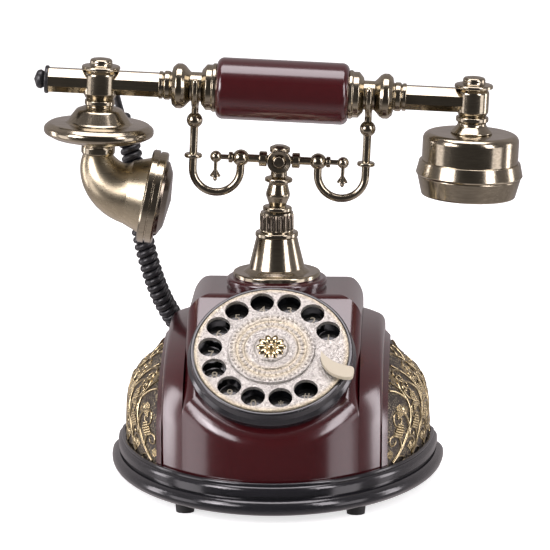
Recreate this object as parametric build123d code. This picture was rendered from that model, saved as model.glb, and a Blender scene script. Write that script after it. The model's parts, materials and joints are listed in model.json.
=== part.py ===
from build123d import *
import math
import os

# Antique-style desk telephone, millimetres, +Z up, -Y to the front, +X to the viewer's right.
# The origin is the middle of the oval plan, on the surface that the feet stand on.

# Clearances shared by every fit
slide_gap = 0.4
seat_gap = 0.1
loose_gap = 0.5
ridge_proud = 0.03

# Roundings shared by the turned mouldings, from the finest to the fullest
hair_round = 0.2
fine_round = 0.3
soft_round = 0.4
light_round = 0.5
edge_round = 0.6
bead_round = 0.8
swell_round = 2.0

# Feet and plinth
foot_diameter = 11.0
foot_height = 5.0
foot_draft = 0.5
foot_edge_margin = 4.5
front_foot_x = 47.0
rear_foot_x = 56.0
plinth_half_width = 94.6
plinth_front_reach = 134.0
plinth_back_reach = 48.0
lower_moulding_height = 8.8
lower_moulding_round = 4.2
groove_height = 1.8
groove_inset = 5.0
upper_step_height = 5.4
upper_step_inset = 3.6
upper_step_round = 2.6
lip_inset = 5.4
lip_width = 1.8
lip_height = 1.6
lip_round = 0.8
plinth_rim_width = 20.0
plinth_deck = 4.0
hatch_side_margin = 15.0
hatch_end_margin = 10.0
ledge_width = 7.0

# Base plate and its screws
base_plate_thickness = 2.5
base_screw_diameter = 3.0
base_screw_head_diameter = 6.0
base_screw_length = 9.0
base_screw_x = 38.0
board_post_diameter = 6.0
board_post_height = 4.0

# Body block
body_inset = 8.5
body_height = 89.0
block_half_width = 48.5
top_side_round = 13.0
crease_round = 9.0
slope_side_round = 8.0
front_crease_round = 12.0
block_wall = 3.0
back_top_y = 55.0
back_shoulder_z = 52.0
back_round = 14.0

# Dial seat on the sloped face
dial_tilt = 38.8
dial_seat_y = -40.65
dial_seat_z = 79.8
dial_wall = 6.0
dial_seat_inset = 1.0

# Side pilasters, frames and domed panels
pilaster_width = 12.5
pilaster_top_z = 93.0
pilaster_round = 46.0
pilaster_edge_round = 6.0
pilaster_draft = 1.0
pilaster_wall = 3.0
frame_width = 3.0
frame_proud = 1.4
panel_shoulder_z = 53.0
panel_shoulder_radius = 84.6
panel_top_radius = 59.5
panel_top_z = 79.0
panel_round = 33.0
panel_wall = 3.0

# Dial bezel, finger wheel and keys
bezel_radius = 45.8
bezel_height = 11.0
bezel_bulge = 0.9
bezel_bulge_share = 0.34
bezel_bulge_round = 1.4
bezel_waist = 0.5
bezel_waist_share = 0.6
bezel_waist_round = 0.6
bezel_crown_inset = 1.0
bezel_crown_round = 0.9
bezel_lip_round = 0.4
wheel_radius = 42.6
wheel_thickness = 2.5
wheel_top = 11.8
wheel_edge_round = 0.8
hole_diameter = 13.3
hole_pitch_radius = 33.7
hole_count = 12
first_hole_angle = 23.6
hole_spacing_angle = 25.67
drum_rim = 1.5
key_top = 4.8
key_flange_step = 0.8
key_flange_thickness = 1.1
key_shoulder_depth = 1.2
key_edge_round = 0.8
key_travel = 1.4
keypad_board_thickness = 1.6
medallion_radius = 24.0
medallion_ring_radius = 20.0
medallion_inner_radius = 14.4
medallion_emblem_radius = 8.8
medallion_height = 1.4
medallion_groove_slope = 0.8
medallion_groove_depth = 0.5
medallion_bead_rise = 0.3
medallion_bead_width = 1.0
medallion_field_drop = 0.4
emblem_rise = 0.9
emblem_peak = 1.4
key_channel_wall = 0.6
wheel_ledge_width = 1.0
redial_tip = (27.6, -3.6)
redial_upper_middle = (34.2, -10.6)
redial_upper_end = (46.2, -14.2)
redial_lower_end = (45.2, -21.6)
redial_lower_middle = (31.8, -17.2)
redial_end_round = 2.6
redial_stem_place = (35.9, -15.2)
redial_thickness = 2.6
redial_travel = 1.0
redial_stem_diameter = 4.0

# Stem between the body and the cradle
stem_y = 24.0
ring_diameter = 56.4
ring_height = 5.7
ring_foot_inset = 1.0
ring_foot_height = 1.6
ring_seat_depth = 0.6
ring_round = 1.7
flange_diameter = 49.2
flange_height = 2.5
flange_round = 1.0
cone_foot_diameter = 31.6
cone_top_diameter = 23.0
cone_height = 22.6
cone_cap_height = 3.0
cone_cap_proud = 0.6
cone_cove_width = 3.0
cone_cove_middle = 1.2
cone_cove_middle_height = 1.4
cone_cove_height = 2.2
collar_diameter = 19.2
collar_height = 11.2
knurl_count = 24
knurl_depth = 0.8
knurl_end_margin = 1.0
stem_bore_diameter = 15.0
guide_radial_gap = 0.6

# Plunger and cradle, built upright and then leaned
lean_angle = 2.5
plunger_shaft_diameter = 8.0
plunger_shaft_drop = 55.0
plunger_tip_round = 1.0
plunger_rest_gap = 0.5
hook_travel = 4.0
plunger_stop_diameter = 18.0
plunger_stop_height = 2.0
plunger_ring_diameter = 16.4
plunger_ring_height = 2.6
vase_diameter = 14.0
vase_waist_diameter = 9.4
vase_height = 17.0
vase_foot = 0.6
vase_belly_share = 0.4
vase_belly_round = 4.0
vase_neck_step = 0.4
vase_neck_height = 1.0
vase_collar_inset = 0.4
vase_collar_height = 1.8
vase_tip_height = 3.0
vase_tip_step = 0.2
hub_diameter = 13.3
hub_rise = 29.7
hub_half_height = 6.2
hub_foot_inset = 1.6
hub_belly_low = -1.5
hub_belly_high = 2.0
hub_neck_top = 4.0
hub_cap_low = 4.6
hub_cap_edge = 1.2
hub_cap_round = 0.9
hub_cap_slope = 2.5
hub_cap_width = 11.5
hub_cap_height = 8.3
boss_diameter = 13.5
boss_reach = 8.4
boss_foot_inset = 0.8
boss_rim_height = 1.6
boss_dish_depth = 0.8
boss_dome_slope = 1.0
boss_dome_peak = 1.2
boss_dome_diameter = 8.0
arm_diameter = 4.5
arm_collar_diameter = 8.6
arm_collar_end = 11.5
arm_collar_length = 4.5
ball_diameter = 9.4
ball_x = 21.7
ball_flat = 3.9
arm_ring_diameter = 6.2
arm_ring_x = 27.4
arm_ring_length = 2.4
thin_arm_diameter = 2.9
end_ball_diameter = 6.6
end_ball_x = 35.7
drop_length = 11.0
drop_flare_diameter = 6.0
drop_tip_diameter = 2.9
drop_stalk_share = 0.7
drop_flare_start = 6.6
drop_flare_high = 3.6
drop_flare_low = 3.0
drop_waist = 2.4
hook_tube_diameter = 4.5
hook_leg = 3.0
fork_ring_diameter = 10.0
fork_ring_height = 2.4
fork_ring_round = 0.9
fork_ball_diameter = 9.0
fork_ball_rise = 20.1
fork_prong_diameter = 4.0
fork_prong_rise = 4.3

# Handset, along X on the stem's plane
handset_rise = 39.0
grip_diameter = 34.5
grip_length = 74.0
grip_end_round = 4.0
tie_rod_diameter = 6.0
neck_end_wall = 9.1
ferrule_diameter = 27.3
ferrule_length = 8.2
ferrule_band = 1.8
ferrule_step = 0.8
ferrule_slope = 2.6
neck_diameter = 16.5
neck_length = 6.0
neck_lead = 0.3
neck_foot_flare = 1.5
neck_head_flare = 1.6
bulb_diameter = 25.3
bulb_length = 8.5
bulb_lead = 2.3
bulb_step = 0.8
bulb_lip = 1.0
bulb_front = 2.6
bulb_front_round = 1.6
bulb_back = 3.0
bulb_back_slope = 2.0
neck_ring_diameter = 16.3
neck_ring_length = 4.5
neck_ring_step = 0.8
neck_ring_edge = 1.0
neck_flange_diameter = 15.5
neck_flange_length = 2.3
neck_flange_edge = 0.4
rod_across_flats = 13.2
mouth_x = 102.0
ear_x = 106.5
mouth_rod_end = 131.0
finial_flange_diameter = 15.7
finial_flange_length = 2.2
finial_ball_diameter = 11.0
finial_neck_inset = 1.5
finial_swell_height = 2.0
finial_swell_round = 1.5
finial_crown_inset = 0.6
finial_crown_height = 4.4
finial_tip_height = 6.2
knob_diameter = 19.4
ear_knob_diameter = 17.7
knob_bottom = -8.4
knob_top = 7.0
knob_foot_inset = 1.2
knob_foot_swell = 2.2
knob_head_swell = 2.0
knob_head_inset = 1.6
knob_disc_diameter = 21.6
knob_disc_top = 9.8
knob_disc_gap = 0.3
knob_disc_edge = 0.6
knob_disc_round = 0.9
knob_button_diameter = 12.6
knob_button_top = 14.0
knob_button_flare = 0.4
knob_button_edge = 1.0
knob_button_round = 1.6
knob_foot_bottom = -10.0
knob_spigot_inset = 1.0
knob_far_wall = 3.0

# Mouthpiece, heights from the handset's axis
saucer_neck_diameter = 17.0
saucer_neck_length = 2.4
saucer_neck_inset = 0.8
saucer_dome_diameter = 36.0
saucer_dome_top = -13.5
saucer_dome_bottom = -22.5
saucer_dome_slope = 5.0
saucer_dome_shoulder = 2.0
saucer_dome_round = 3.0
saucer_step = 1.2
saucer_step_rise = 0.4
saucer_diameter = 61.7
saucer_top = -23.5
saucer_bottom = -32.0
saucer_round = 2.4
saucer_rim_slope = 3.0
saucer_rim_drop = 2.4
saucer_rim_lift = 2.6
saucer_under_slope = 5.0
saucer_under_round = 4.0
saucer_cove_width = 3.0
saucer_cove_height = 1.2
saucer_cove_round = 5.0
saucer_wall = 3.0
saucer_wire_hole = 7.0
horn_collar_diameter = 19.0
horn_collar_top = -36.0
horn_collar_neck = 0.6
horn_collar_edge = 0.8
horn_collar_foot = 1.0
horn_top = -41.0
horn_throat_diameter = 16.8
horn_seam_diameter = 36.0
horn_mouth_diameter = 43.0
horn_bend_radius = 21.0
horn_dip = 8.7
horn_flare_length = 9.5
horn_wall = 2.4
horn_stations = 5
horn_growth_power = 0.8
rim_diameter = 53.0
rim_length = 9.0
rim_groove_depth = 1.2
rim_groove_width = 0.8
rim_back_edge = 1.0
rim_front_step = 0.4
rim_front_edge = 0.8
mouth_cap_diameter = 43.0
mouth_cap_height = 6.0
mouth_cap_edge_inset = 0.5
mouth_cap_edge_height = 1.4
mouth_cap_crown_share = 0.72
mouth_cap_crown_height_share = 0.7
mouth_cap_round = 6.0
microphone_diameter = 24.0
microphone_length = 7.0

# Earpiece, heights from the handset's axis
ear_neck_ring_diameter = 18.3
ear_neck_diameter = 16.0
ear_neck_inset = 0.6
ear_foot_flare = 4.4
ear_foot_step = 3.0
ear_foot_step_height = 1.6
ear_foot_height = 4.6
ear_bead_start = 2.2
ear_bead_low = 1.4
ear_bead_high = 1.0
ear_bead_end = 1.3
can_top = -18.3
can_bottom = -34.3
can_diameter = 54.0
can_round = 4.0
can_wall = 2.2
can_inner_round = 3.0
ear_ring_bottom = -42.3
ear_ring_top_diameter = 56.7
ear_ring_bottom_diameter = 60.0
ear_ring_edge = 0.8
ear_ring_inset = 0.6
ear_cap_bottom = -54.0
ear_cap_top_diameter = 58.0
ear_cap_bottom_diameter = 52.5
ear_cap_dish_depth = 3.0
ear_cap_dish_share = 0.5
ear_cap_dish_round = 6.0
ear_cap_seat_inset = 0.4
ear_cap_edge = 0.8
ear_cap_rim_round = 1.2
ear_cap_rim_width = 5.0
ear_cap_pocket_diameter = 34.0
ear_cap_floor = 2.6
receiver_diameter = 40.0
receiver_height = 9.0
ear_hole_diameter = 3.0
ear_hole_ring_radius = 8.0
ear_hole_count = 6

# Inner works
board_length = 80.0
board_width = 46.0
board_thickness = 1.6
board_y = 24.0
board_post_inset = 5.0
ringer_diameter = 34.0
ringer_height = 9.0
ringer_y = -32.0
switch_length = 20.0
switch_width = 10.0
switch_height = 12.0
bracket_thickness = 2.0
leaf_thickness = 0.6
leaf_width = 7.0
jack_width = 15.0
jack_depth = 18.0
jack_height = 14.0
jack_x = 16.0
jack_z = 36.0
jack_proud = 1.0
socket_width = 9.8
socket_height = 8.0
socket_depth = 11.0
plug_length = 20.0
plug_insert = 10.0
latch_height = 1.0

# Curly handset cord
cord_wire_diameter = 4.2
cord_coil_diameter = 12.4
boot_length = 14.0
boot_foot_diameter = 9.0
boot_foot_length = 3.0
boot_tip_wall = 0.9
boot_pad_proud = 0.6
boot_pad_margin = 0.5
lead_straight = 11.2
tail_straight = 11.2
cord_turn_limit = 0.45
lead_route = [
    (-95.0, 67.5, 216.5),
]
coil_route = [
    (-91.0, 67.5, 201.0),
    (-86.5, 66.5, 186.0),
    (-83.0, 64.5, 168.0),
    (-81.0, 64.0, 149.0),
    (-78.5, 64.5, 128.0),
    (-73.5, 66.5, 107.0),
    (-67.0, 72.5, 88.0),
    (-58.0, 83.0, 71.0),
    (-46.5, 96.0, 58.0),
    (-33.0, 107.0, 49.0),
]
tail_route = [
    (-15.5, 116.0, 42.0),
    (-0.5, 118.0, 38.0),
    (10.2, 113.3, 36.3),
]

# Places worked out from the sizes above
widest_line = (plinth_front_reach - plinth_back_reach) / 2
plinth_top = foot_height + lower_moulding_height + groove_height + upper_step_height
body_half_width = plinth_half_width - body_inset
body_front_reach = plinth_front_reach - body_inset
body_back_reach = plinth_back_reach - body_inset
body_top = plinth_top + body_height
pilaster_x = block_half_width + pilaster_width
panel_x = pilaster_x + frame_width
ring_top = body_top + ring_height
flange_top = ring_top + flange_height
cone_top = flange_top + cone_height
collar_top = cone_top + collar_height
lean_pivot_z = (cone_top + collar_top) / 2
plunger_bottom = collar_top - plunger_shaft_drop
hub_z = collar_top + hub_rise
handset_z = hub_z + handset_rise
neck_start = grip_length / 2 + ferrule_length
fork_x = neck_start + neck_lead + neck_length / 2
bulb_start = fork_x + neck_length / 2 + bulb_lead
neck_end = bulb_start + bulb_length + neck_ring_length + neck_flange_length
tie_rod_length = 2 * (neck_end - neck_end_wall)
fork_radius = neck_diameter / 2 + slide_gap + fork_prong_diameter / 2
drum_radius = hole_pitch_radius + hole_diameter / 2 + drum_rim
drum_depth = key_shoulder_depth + key_flange_thickness + key_travel + 3 * seat_gap
base_floor = foot_height + base_plate_thickness
dial_normal = Vector(0, -math.sin(math.radians(dial_tilt)), math.cos(math.radians(dial_tilt)))
dial_plane = Plane(origin=(0, dial_seat_y, dial_seat_z), x_dir=(1, 0, 0), z_dir=dial_normal)
lean_axis = Axis((0, stem_y, lean_pivot_z), (0, 1, 0))
sides = (("left", -1), ("right", 1))


def turned(*outline):
    """Solid turned about Z from (radius, height, corner rounding) points."""
    points = [(radius, height) for radius, height, rounding in outline]
    rounds = [rounding for radius, height, rounding in outline]
    edge = FilletPolyline(*points, radius=rounds, close=True)
    face = Plane.XZ * make_face(edge.edges())
    return revolve(face, Axis.Z)


def bar(diameter, start, end):
    """Round bar about Z between two heights."""
    standing = (Align.CENTER, Align.CENTER, Align.MIN)
    return Pos(0, 0, start) * Cylinder(diameter / 2, end - start, align=standing)


def oval(half_width, front_reach, back_reach):
    """Plan of two half ellipses that meet on the body's widest line."""
    centre = (0, widest_line)
    back = EllipticalCenterArc(centre, half_width, back_reach, 0, arc_size=180)
    front = EllipticalCenterArc(centre, half_width, front_reach, 180, arc_size=180)
    return make_face([back, front])


def plinth_oval(inset):
    """The plinth's plan, drawn in by an inset all round."""
    return oval(plinth_half_width - inset, plinth_front_reach - inset, plinth_back_reach - inset)


def slab(face, low, high):
    """Face in plan raised from one height to another."""
    return Pos(0, 0, low) * extrude(face, high - low)


def upright_plane(x=0.0):
    """Vertical plane across X, with Y to its right and Z up."""
    return Plane(origin=(x, 0, 0), x_dir=(0, 1, 0), z_dir=(1, 0, 0))


def stretched_dome(*outline):
    """Turned dome stretched front and back to the body's oval plan."""
    whole = turned(*outline)
    reach = 2 * body_half_width
    front_half = Pos(0, -reach / 2, 0) * Box(2 * reach, reach, 4 * reach)
    front = scale(whole & front_half, by=(1, body_front_reach / body_half_width, 1))
    back = scale(whole - front_half, by=(1, body_back_reach / body_half_width, 1))
    return Pos(0, widest_line, 0) * (front + back)


def side_slab(solid, sign, inner_x, outer_x):
    """The part of a solid between two distances from the middle, on one side."""
    reach = 4 * plinth_front_reach
    middle = sign * (inner_x + outer_x) / 2
    return solid & (Pos(middle, 0, 0) * Box(outer_x - inner_x, reach, reach))


def leaned(solid):
    """A piece of the cradle or handset, leaned with the plunger in its loose guide."""
    return solid.rotate(lean_axis, lean_angle)


def along_handset(sign, solid):
    """A piece turned about Z, laid along the handset's axis towards one side."""
    plane = Plane(origin=(0, stem_y, handset_z), x_dir=(0, 1, 0), z_dir=(sign, 0, 0))
    return plane * solid


def hung(x, solid):
    """A piece turned about Z, hung from the handset's axis at one place."""
    return Pos(x, stem_y, handset_z) * solid


def hole_places():
    """Key places on the dial, from the first key round to the last."""
    angles = [first_hole_angle + hole_spacing_angle * i for i in range(hole_count)]
    return [Rot(0, 0, angle) * Pos(hole_pitch_radius, 0, 0) for angle in angles]


def make_plinth():
    lower = slab(plinth_oval(0), foot_height, foot_height + lower_moulding_height)
    rims = lower.edges().group_by(Axis.Z)
    lower = fillet(rims[0] + rims[-1], lower_moulding_round)
    groove_low = foot_height + lower_moulding_height
    groove = slab(plinth_oval(groove_inset), groove_low, groove_low + groove_height)
    upper = slab(plinth_oval(upper_step_inset), groove_low + groove_height, plinth_top)
    upper = fillet(upper.edges().group_by(Axis.Z)[-1], upper_step_round)
    lip = slab(plinth_oval(lip_inset), plinth_top, plinth_top + lip_height)
    lip = fillet(lip.edges().group_by(Axis.Z)[-1], lip_round)
    lip = lip - slab(plinth_oval(lip_inset + lip_width), plinth_top, plinth_top + lip_height)
    body = lower + groove + upper + lip
    plate_pocket = slab(plinth_oval(plinth_rim_width), foot_height, base_floor)
    well = slab(plinth_oval(plinth_rim_width + ledge_width), base_floor, plinth_top - plinth_deck)
    hatch = Pos(0, stem_y, 0) * Box(2 * (block_half_width - hatch_side_margin),
                                    board_width + 2 * hatch_end_margin, 2 * plinth_top)
    body = body - plate_pocket - well - hatch
    screw_end = foot_height + base_screw_length + seat_gap
    for place in screw_places():
        body = body - place * bar(base_screw_diameter, base_floor, screw_end)
    return body


def screw_places():
    """Screws through the base plate into the plinth's ledge, near the corners."""
    middle = plinth_rim_width + ledge_width / 2
    places = []
    for reach, sign in ((plinth_front_reach, -1), (plinth_back_reach, 1)):
        width = plinth_half_width - middle
        y = widest_line + sign * (reach - middle) * math.sqrt(1 - (base_screw_x / width) ** 2)
        places += [Pos(-base_screw_x, y, 0), Pos(base_screw_x, y, 0)]
    return places


def make_base_plate():
    plate = slab(plinth_oval(plinth_rim_width + seat_gap), foot_height, base_floor)
    for place in screw_places():
        head_depth = (base_screw_head_diameter - base_screw_diameter) / 2
        shaft = bar(base_screw_diameter + 2 * seat_gap, foot_height, base_floor)
        sink = Pos(0, 0, foot_height) * Cone(base_screw_head_diameter / 2 + seat_gap,
                                             base_screw_diameter / 2 + seat_gap, head_depth,
                                             align=(Align.CENTER, Align.CENTER, Align.MIN))
        plate = plate - place * (shaft + sink)
    for place in board_post_places():
        plate = plate + place * bar(board_post_diameter, base_floor, base_floor + board_post_height)
    return plate


def board_post_places():
    """Posts under the corners of the main circuit board."""
    x = board_length / 2 - board_post_inset
    y = board_width / 2 - board_post_inset
    return [Pos(i * x, board_y + j * y, 0) for i in (-1, 1) for j in (-1, 1)]


def make_base_screws():
    head_depth = (base_screw_head_diameter - base_screw_diameter) / 2
    head = Pos(0, 0, foot_height) * Cone(base_screw_head_diameter / 2, base_screw_diameter / 2, head_depth,
                                         align=(Align.CENTER, Align.CENTER, Align.MIN))
    screw = head + bar(base_screw_diameter - seat_gap, foot_height, foot_height + base_screw_length)
    return Compound([place * screw for place in screw_places()])


def make_rubber_feet():
    wide = foot_diameter / 2
    foot = turned((0, 0, 0), (wide - foot_draft, 0, 0), (wide, foot_height, 0), (0, foot_height, 0))
    inset = foot_edge_margin + foot_diameter / 2
    feet = []
    for reach, sign, x in ((plinth_front_reach, -1, front_foot_x), (plinth_back_reach, 1, rear_foot_x)):
        width = plinth_half_width - inset
        y = widest_line + sign * (reach - inset) * math.sqrt(1 - (x / width) ** 2)
        feet += [Pos(-x, y, 0) * foot, Pos(x, y, 0) * foot]
    return Compound(feet)


def rounded_ridge(origin, way, half, corner):
    """Endless block just proud of one face of the body, with its two long edges rounded."""
    reach = 3 * plinth_front_reach
    wide = half + ridge_proud
    points = [(-wide, reach), (-wide, -ridge_proud), (wide, -ridge_proud), (wide, reach)]
    face = make_face(FilletPolyline(*points, radius=[0, corner, corner, 0], close=True).edges())
    return extrude(Plane(origin=origin, x_dir=(1, 0, 0), z_dir=way) * face, reach, both=True)


def front_crease(form):
    """Edge of the body block where the dial slope turns down into the upright front."""
    edges = form.edges().filter_by(lambda edge: edge.bounding_box().max.Z < dial_seat_z)
    return edges.filter_by(lambda edge: edge.bounding_box().min.Z > plinth_top).sort_by(Axis.Y)[0]


def block_form(shrink, slope_shrink):
    """The body block, or its hollow when drawn in by a wall."""
    plan = oval(body_half_width - shrink, body_front_reach - shrink, body_back_reach - shrink)
    half = block_half_width - shrink
    top = body_top - shrink
    seat = Vector(0, dial_seat_y, dial_seat_z) - dial_normal * slope_shrink
    slope_way = dial_plane.y_dir
    back_y = widest_line + body_back_reach
    back_way = Vector(0, back_y - back_top_y, back_shoulder_z - body_top).normalized()
    back_top = Vector(0, back_top_y, body_top) - back_way.cross(Vector(-1, 0, 0)) * shrink
    foot = seat + slope_way * ((plinth_top - seat.Z) / slope_way.Z)
    crease = seat + slope_way * ((top - seat.Z) / slope_way.Z)
    back_edge = back_top + back_way * ((top - back_top.Z) / back_way.Z)
    back_foot = back_top + back_way * ((plinth_top - back_top.Z) / back_way.Z)
    outline = [(foot.Y, foot.Z), (crease.Y, top), (back_edge.Y, top), (back_foot.Y, back_foot.Z)]
    rounds = [0, crease_round, back_round, 0]
    side = make_face(FilletPolyline(*outline, radius=rounds, close=True).edges())
    form = slab(plan, plinth_top, top) & extrude(upright_plane() * side, half, both=True)
    form = fillet(front_crease(form), front_crease_round - shrink)
    form = form & rounded_ridge((0, 0, top), (0, 1, 0), half, top_side_round)
    form = form & rounded_ridge(seat, slope_way, half, slope_side_round)
    return form & rounded_ridge(back_top, back_way, half, top_side_round)


def make_body_shell():
    seat = dial_plane * bar(2 * (bezel_radius - dial_seat_inset), -2 * dial_wall, 0)
    shell = block_form(0, 0) + (seat & slab(plinth_oval(body_inset), plinth_top, body_top))
    shell = shell - block_form(block_wall, dial_wall)
    shell = shell - dial_plane * bar(2 * (drum_radius + loose_gap), -3 * dial_wall, dial_wall)
    shell = shell - Pos(0, stem_y, 0) * bar(stem_bore_diameter, body_top - 3 * block_wall, 2 * body_top)
    for sign in (-1, 1):
        shell = shell - jack_block(sign, seat_gap)
    return shell


def pilaster_outline(shrink):
    """Half section of the dome that the pilasters follow."""
    return [(0, plinth_top, 0), (body_half_width - shrink, plinth_top, 0),
            (body_half_width - pilaster_draft - shrink, pilaster_top_z - shrink, pilaster_round - shrink),
            (0, pilaster_top_z - shrink, 0)]


def panel_outline(proud):
    """Half section of the dome that the side panels and their frames follow."""
    return [(0, plinth_top, 0), (body_half_width + proud / 2, plinth_top, 0),
            (panel_shoulder_radius + proud, panel_shoulder_z + proud / 2, panel_round),
            (panel_top_radius + proud, panel_top_z + proud, 0), (0, panel_top_z + proud, 0)]


def pilaster_rim(solid):
    """Edges of a pilaster's outer side, apart from its foot."""
    rim = solid.edges().filter_by(lambda edge: edge.bounding_box().size.X < seat_gap)
    rim = rim.filter_by(lambda edge: abs(abs(edge.center().X) - pilaster_x) < seat_gap)
    return rim.filter_by(lambda edge: edge.bounding_box().max.Z > plinth_top + seat_gap)


def make_pilaster(sign):
    outer = side_slab(stretched_dome(*pilaster_outline(0)), sign, block_half_width + seat_gap, pilaster_x)
    outer = fillet(pilaster_rim(outer), pilaster_edge_round)
    hollow = side_slab(stretched_dome(*pilaster_outline(pilaster_wall)), sign, block_half_width,
                       pilaster_x - pilaster_wall)
    return outer - hollow


def make_side_frame(sign):
    return side_slab(stretched_dome(*panel_outline(frame_proud)), sign, pilaster_x, panel_x)


def make_vine_panel(sign):
    outer = stretched_dome(*panel_outline(0))
    inner = stretched_dome(*panel_outline(-panel_wall))
    return side_slab(outer - inner, sign, panel_x, plinth_half_width)


def make_dial_bezel():
    """Moulding round the wheel, with an open channel for the keys and a hub that carries the wheel."""
    wheel_low = wheel_top - wheel_thickness
    hub_radius = hole_pitch_radius - hole_diameter / 2 - key_channel_wall
    bezel = turned((0, -drum_depth, 0), (drum_radius, -drum_depth, 0), (drum_radius, 0, 0),
                   (bezel_radius, 0, 0),
                   (bezel_radius + bezel_bulge, bezel_height * bezel_bulge_share, bezel_bulge_round),
                   (bezel_radius - bezel_waist, bezel_height * bezel_waist_share, bezel_waist_round),
                   (bezel_radius - bezel_crown_inset, bezel_height, bezel_crown_round),
                   (wheel_radius + slide_gap, bezel_height, bezel_lip_round),
                   (wheel_radius + slide_gap, wheel_low, 0), (0, wheel_low, 0))
    channel = bar(2 * (wheel_radius - wheel_ledge_width), 0, wheel_low) - bar(2 * hub_radius, 0, wheel_low)
    bezel = bezel - channel
    well = bar(hole_diameter, -drum_depth, wheel_top)
    flange_well = bar(hole_diameter + key_flange_step, -drum_depth, -key_shoulder_depth)
    for place in hole_places():
        bezel = bezel - place * (well + flange_well)
    bezel = bezel - redial_place() * bar(redial_stem_diameter + 2 * slide_gap, -drum_depth, wheel_top)
    return dial_plane * bezel


def make_finger_wheel():
    low = wheel_top - wheel_thickness
    wheel = turned((0, low, 0), (wheel_radius, low, 0), (wheel_radius, wheel_top, wheel_edge_round),
                   (0, wheel_top, 0))
    for place in hole_places():
        wheel = wheel - place * bar(hole_diameter, low, wheel_top)
    wheel = wheel - redial_place() * bar(redial_stem_diameter + 2 * slide_gap, low, wheel_top)
    return dial_plane * wheel


def make_key():
    """One push key, waiting at the middle of the dial."""
    cap_radius = hole_diameter / 2 - slide_gap
    flange_radius = cap_radius + key_flange_step / 2
    shoulder = -key_shoulder_depth - seat_gap
    foot = shoulder - key_flange_thickness
    return turned((0, foot, 0), (flange_radius, foot, 0), (flange_radius, shoulder, 0),
                  (cap_radius, shoulder, 0), (cap_radius, key_top, key_edge_round), (0, key_top, 0))


def make_keypad_board():
    return dial_plane * bar(2 * drum_radius, -drum_depth - keypad_board_thickness, -drum_depth)


def make_dial_medallion():
    base = wheel_top
    top = wheel_top + medallion_height
    groove = top - medallion_groove_depth
    bead = top + medallion_bead_rise
    emblem = medallion_emblem_radius
    medallion = turned((0, base, 0), (medallion_radius, base, 0), (medallion_radius, top, edge_round),
                       (medallion_ring_radius, top, 0),
                       (medallion_ring_radius - medallion_groove_slope, groove, 0),
                       (medallion_inner_radius + medallion_groove_slope, groove, 0),
                       (medallion_inner_radius, bead, fine_round),
                       (medallion_inner_radius - medallion_bead_width, bead, fine_round),
                       (emblem + medallion_bead_width, top - medallion_field_drop, soft_round),
                       (emblem, top + emblem_rise, bead_round), (0, top + emblem_peak, 0))
    return dial_plane * medallion


def redial_place():
    """Place of the redial key's stem on the dial."""
    return Pos(*redial_stem_place, 0)


def make_redial_key():
    """Curved blade that points in over the wheel, on a stem that presses down."""
    upper = ThreePointArc(redial_tip, redial_upper_middle, redial_upper_end)
    lower = ThreePointArc(redial_lower_end, redial_lower_middle, redial_tip)
    blade = make_face([upper, Line(redial_upper_end, redial_lower_end), lower])
    outer_corners = blade.vertices().sort_by(Axis.X)[-2:]
    blade = fillet(outer_corners, redial_end_round)
    low = wheel_top + redial_travel + slide_gap
    plate = slab(blade, low, low + redial_thickness)
    stem = redial_place() * bar(redial_stem_diameter, -drum_depth + redial_travel + slide_gap, low)
    return dial_plane * (plate + stem)


def make_stem_ring():
    outer = ring_diameter / 2
    foot = outer - ring_foot_inset
    flange = flange_diameter / 2
    bore = stem_bore_diameter / 2
    shoulder = body_top + ring_foot_height
    crown = ring_top - ring_seat_depth
    ring = turned((bore, body_top, 0), (foot, body_top, 0), (foot, shoulder, 0), (outer, shoulder, 0),
                  (outer, crown, ring_round), (flange, crown, 0), (flange, ring_top, 0), (bore, ring_top, 0))
    return Pos(0, stem_y, 0) * ring


def make_stem_cone():
    bore = stem_bore_diameter / 2
    guide = plunger_shaft_diameter / 2 + 3 * guide_radial_gap
    flange = flange_diameter / 2
    foot = cone_foot_diameter / 2
    tip = cone_top_diameter / 2
    cap = tip + cone_cap_proud
    cap_low = cone_top - cone_cap_height
    cone = turned((bore, ring_top, 0), (flange, ring_top, 0), (flange, flange_top, flange_round),
                  (foot + cone_cove_width, flange_top, light_round),
                  (foot + cone_cove_middle, flange_top + cone_cove_middle_height, bead_round),
                  (foot, flange_top + cone_cove_height, 0), (tip, cap_low, 0),
                  (cap, cap_low + cone_cap_proud, soft_round), (cap, cone_top, bead_round),
                  (guide, cone_top, 0), (guide, cap_low, 0), (bore, cap_low - 2 * cone_cap_height, 0))
    return Pos(0, stem_y, 0) * cone


def make_knurled_collar():
    outer = collar_diameter / 2
    points = []
    for i in range(2 * knurl_count):
        radius = outer - (i % 2) * knurl_depth
        angle = math.pi * i / knurl_count
        points.append((radius * math.cos(angle), radius * math.sin(angle)))
    star = make_face(Polyline(*points, close=True))
    knurl = slab(star, cone_top + knurl_end_margin, collar_top - knurl_end_margin)
    rings = bar(collar_diameter - knurl_depth, cone_top, collar_top)
    bore = bar(plunger_shaft_diameter + 2 * guide_radial_gap, cone_top, collar_top)
    return Pos(0, stem_y, 0) * (knurl + rings - bore)


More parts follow.
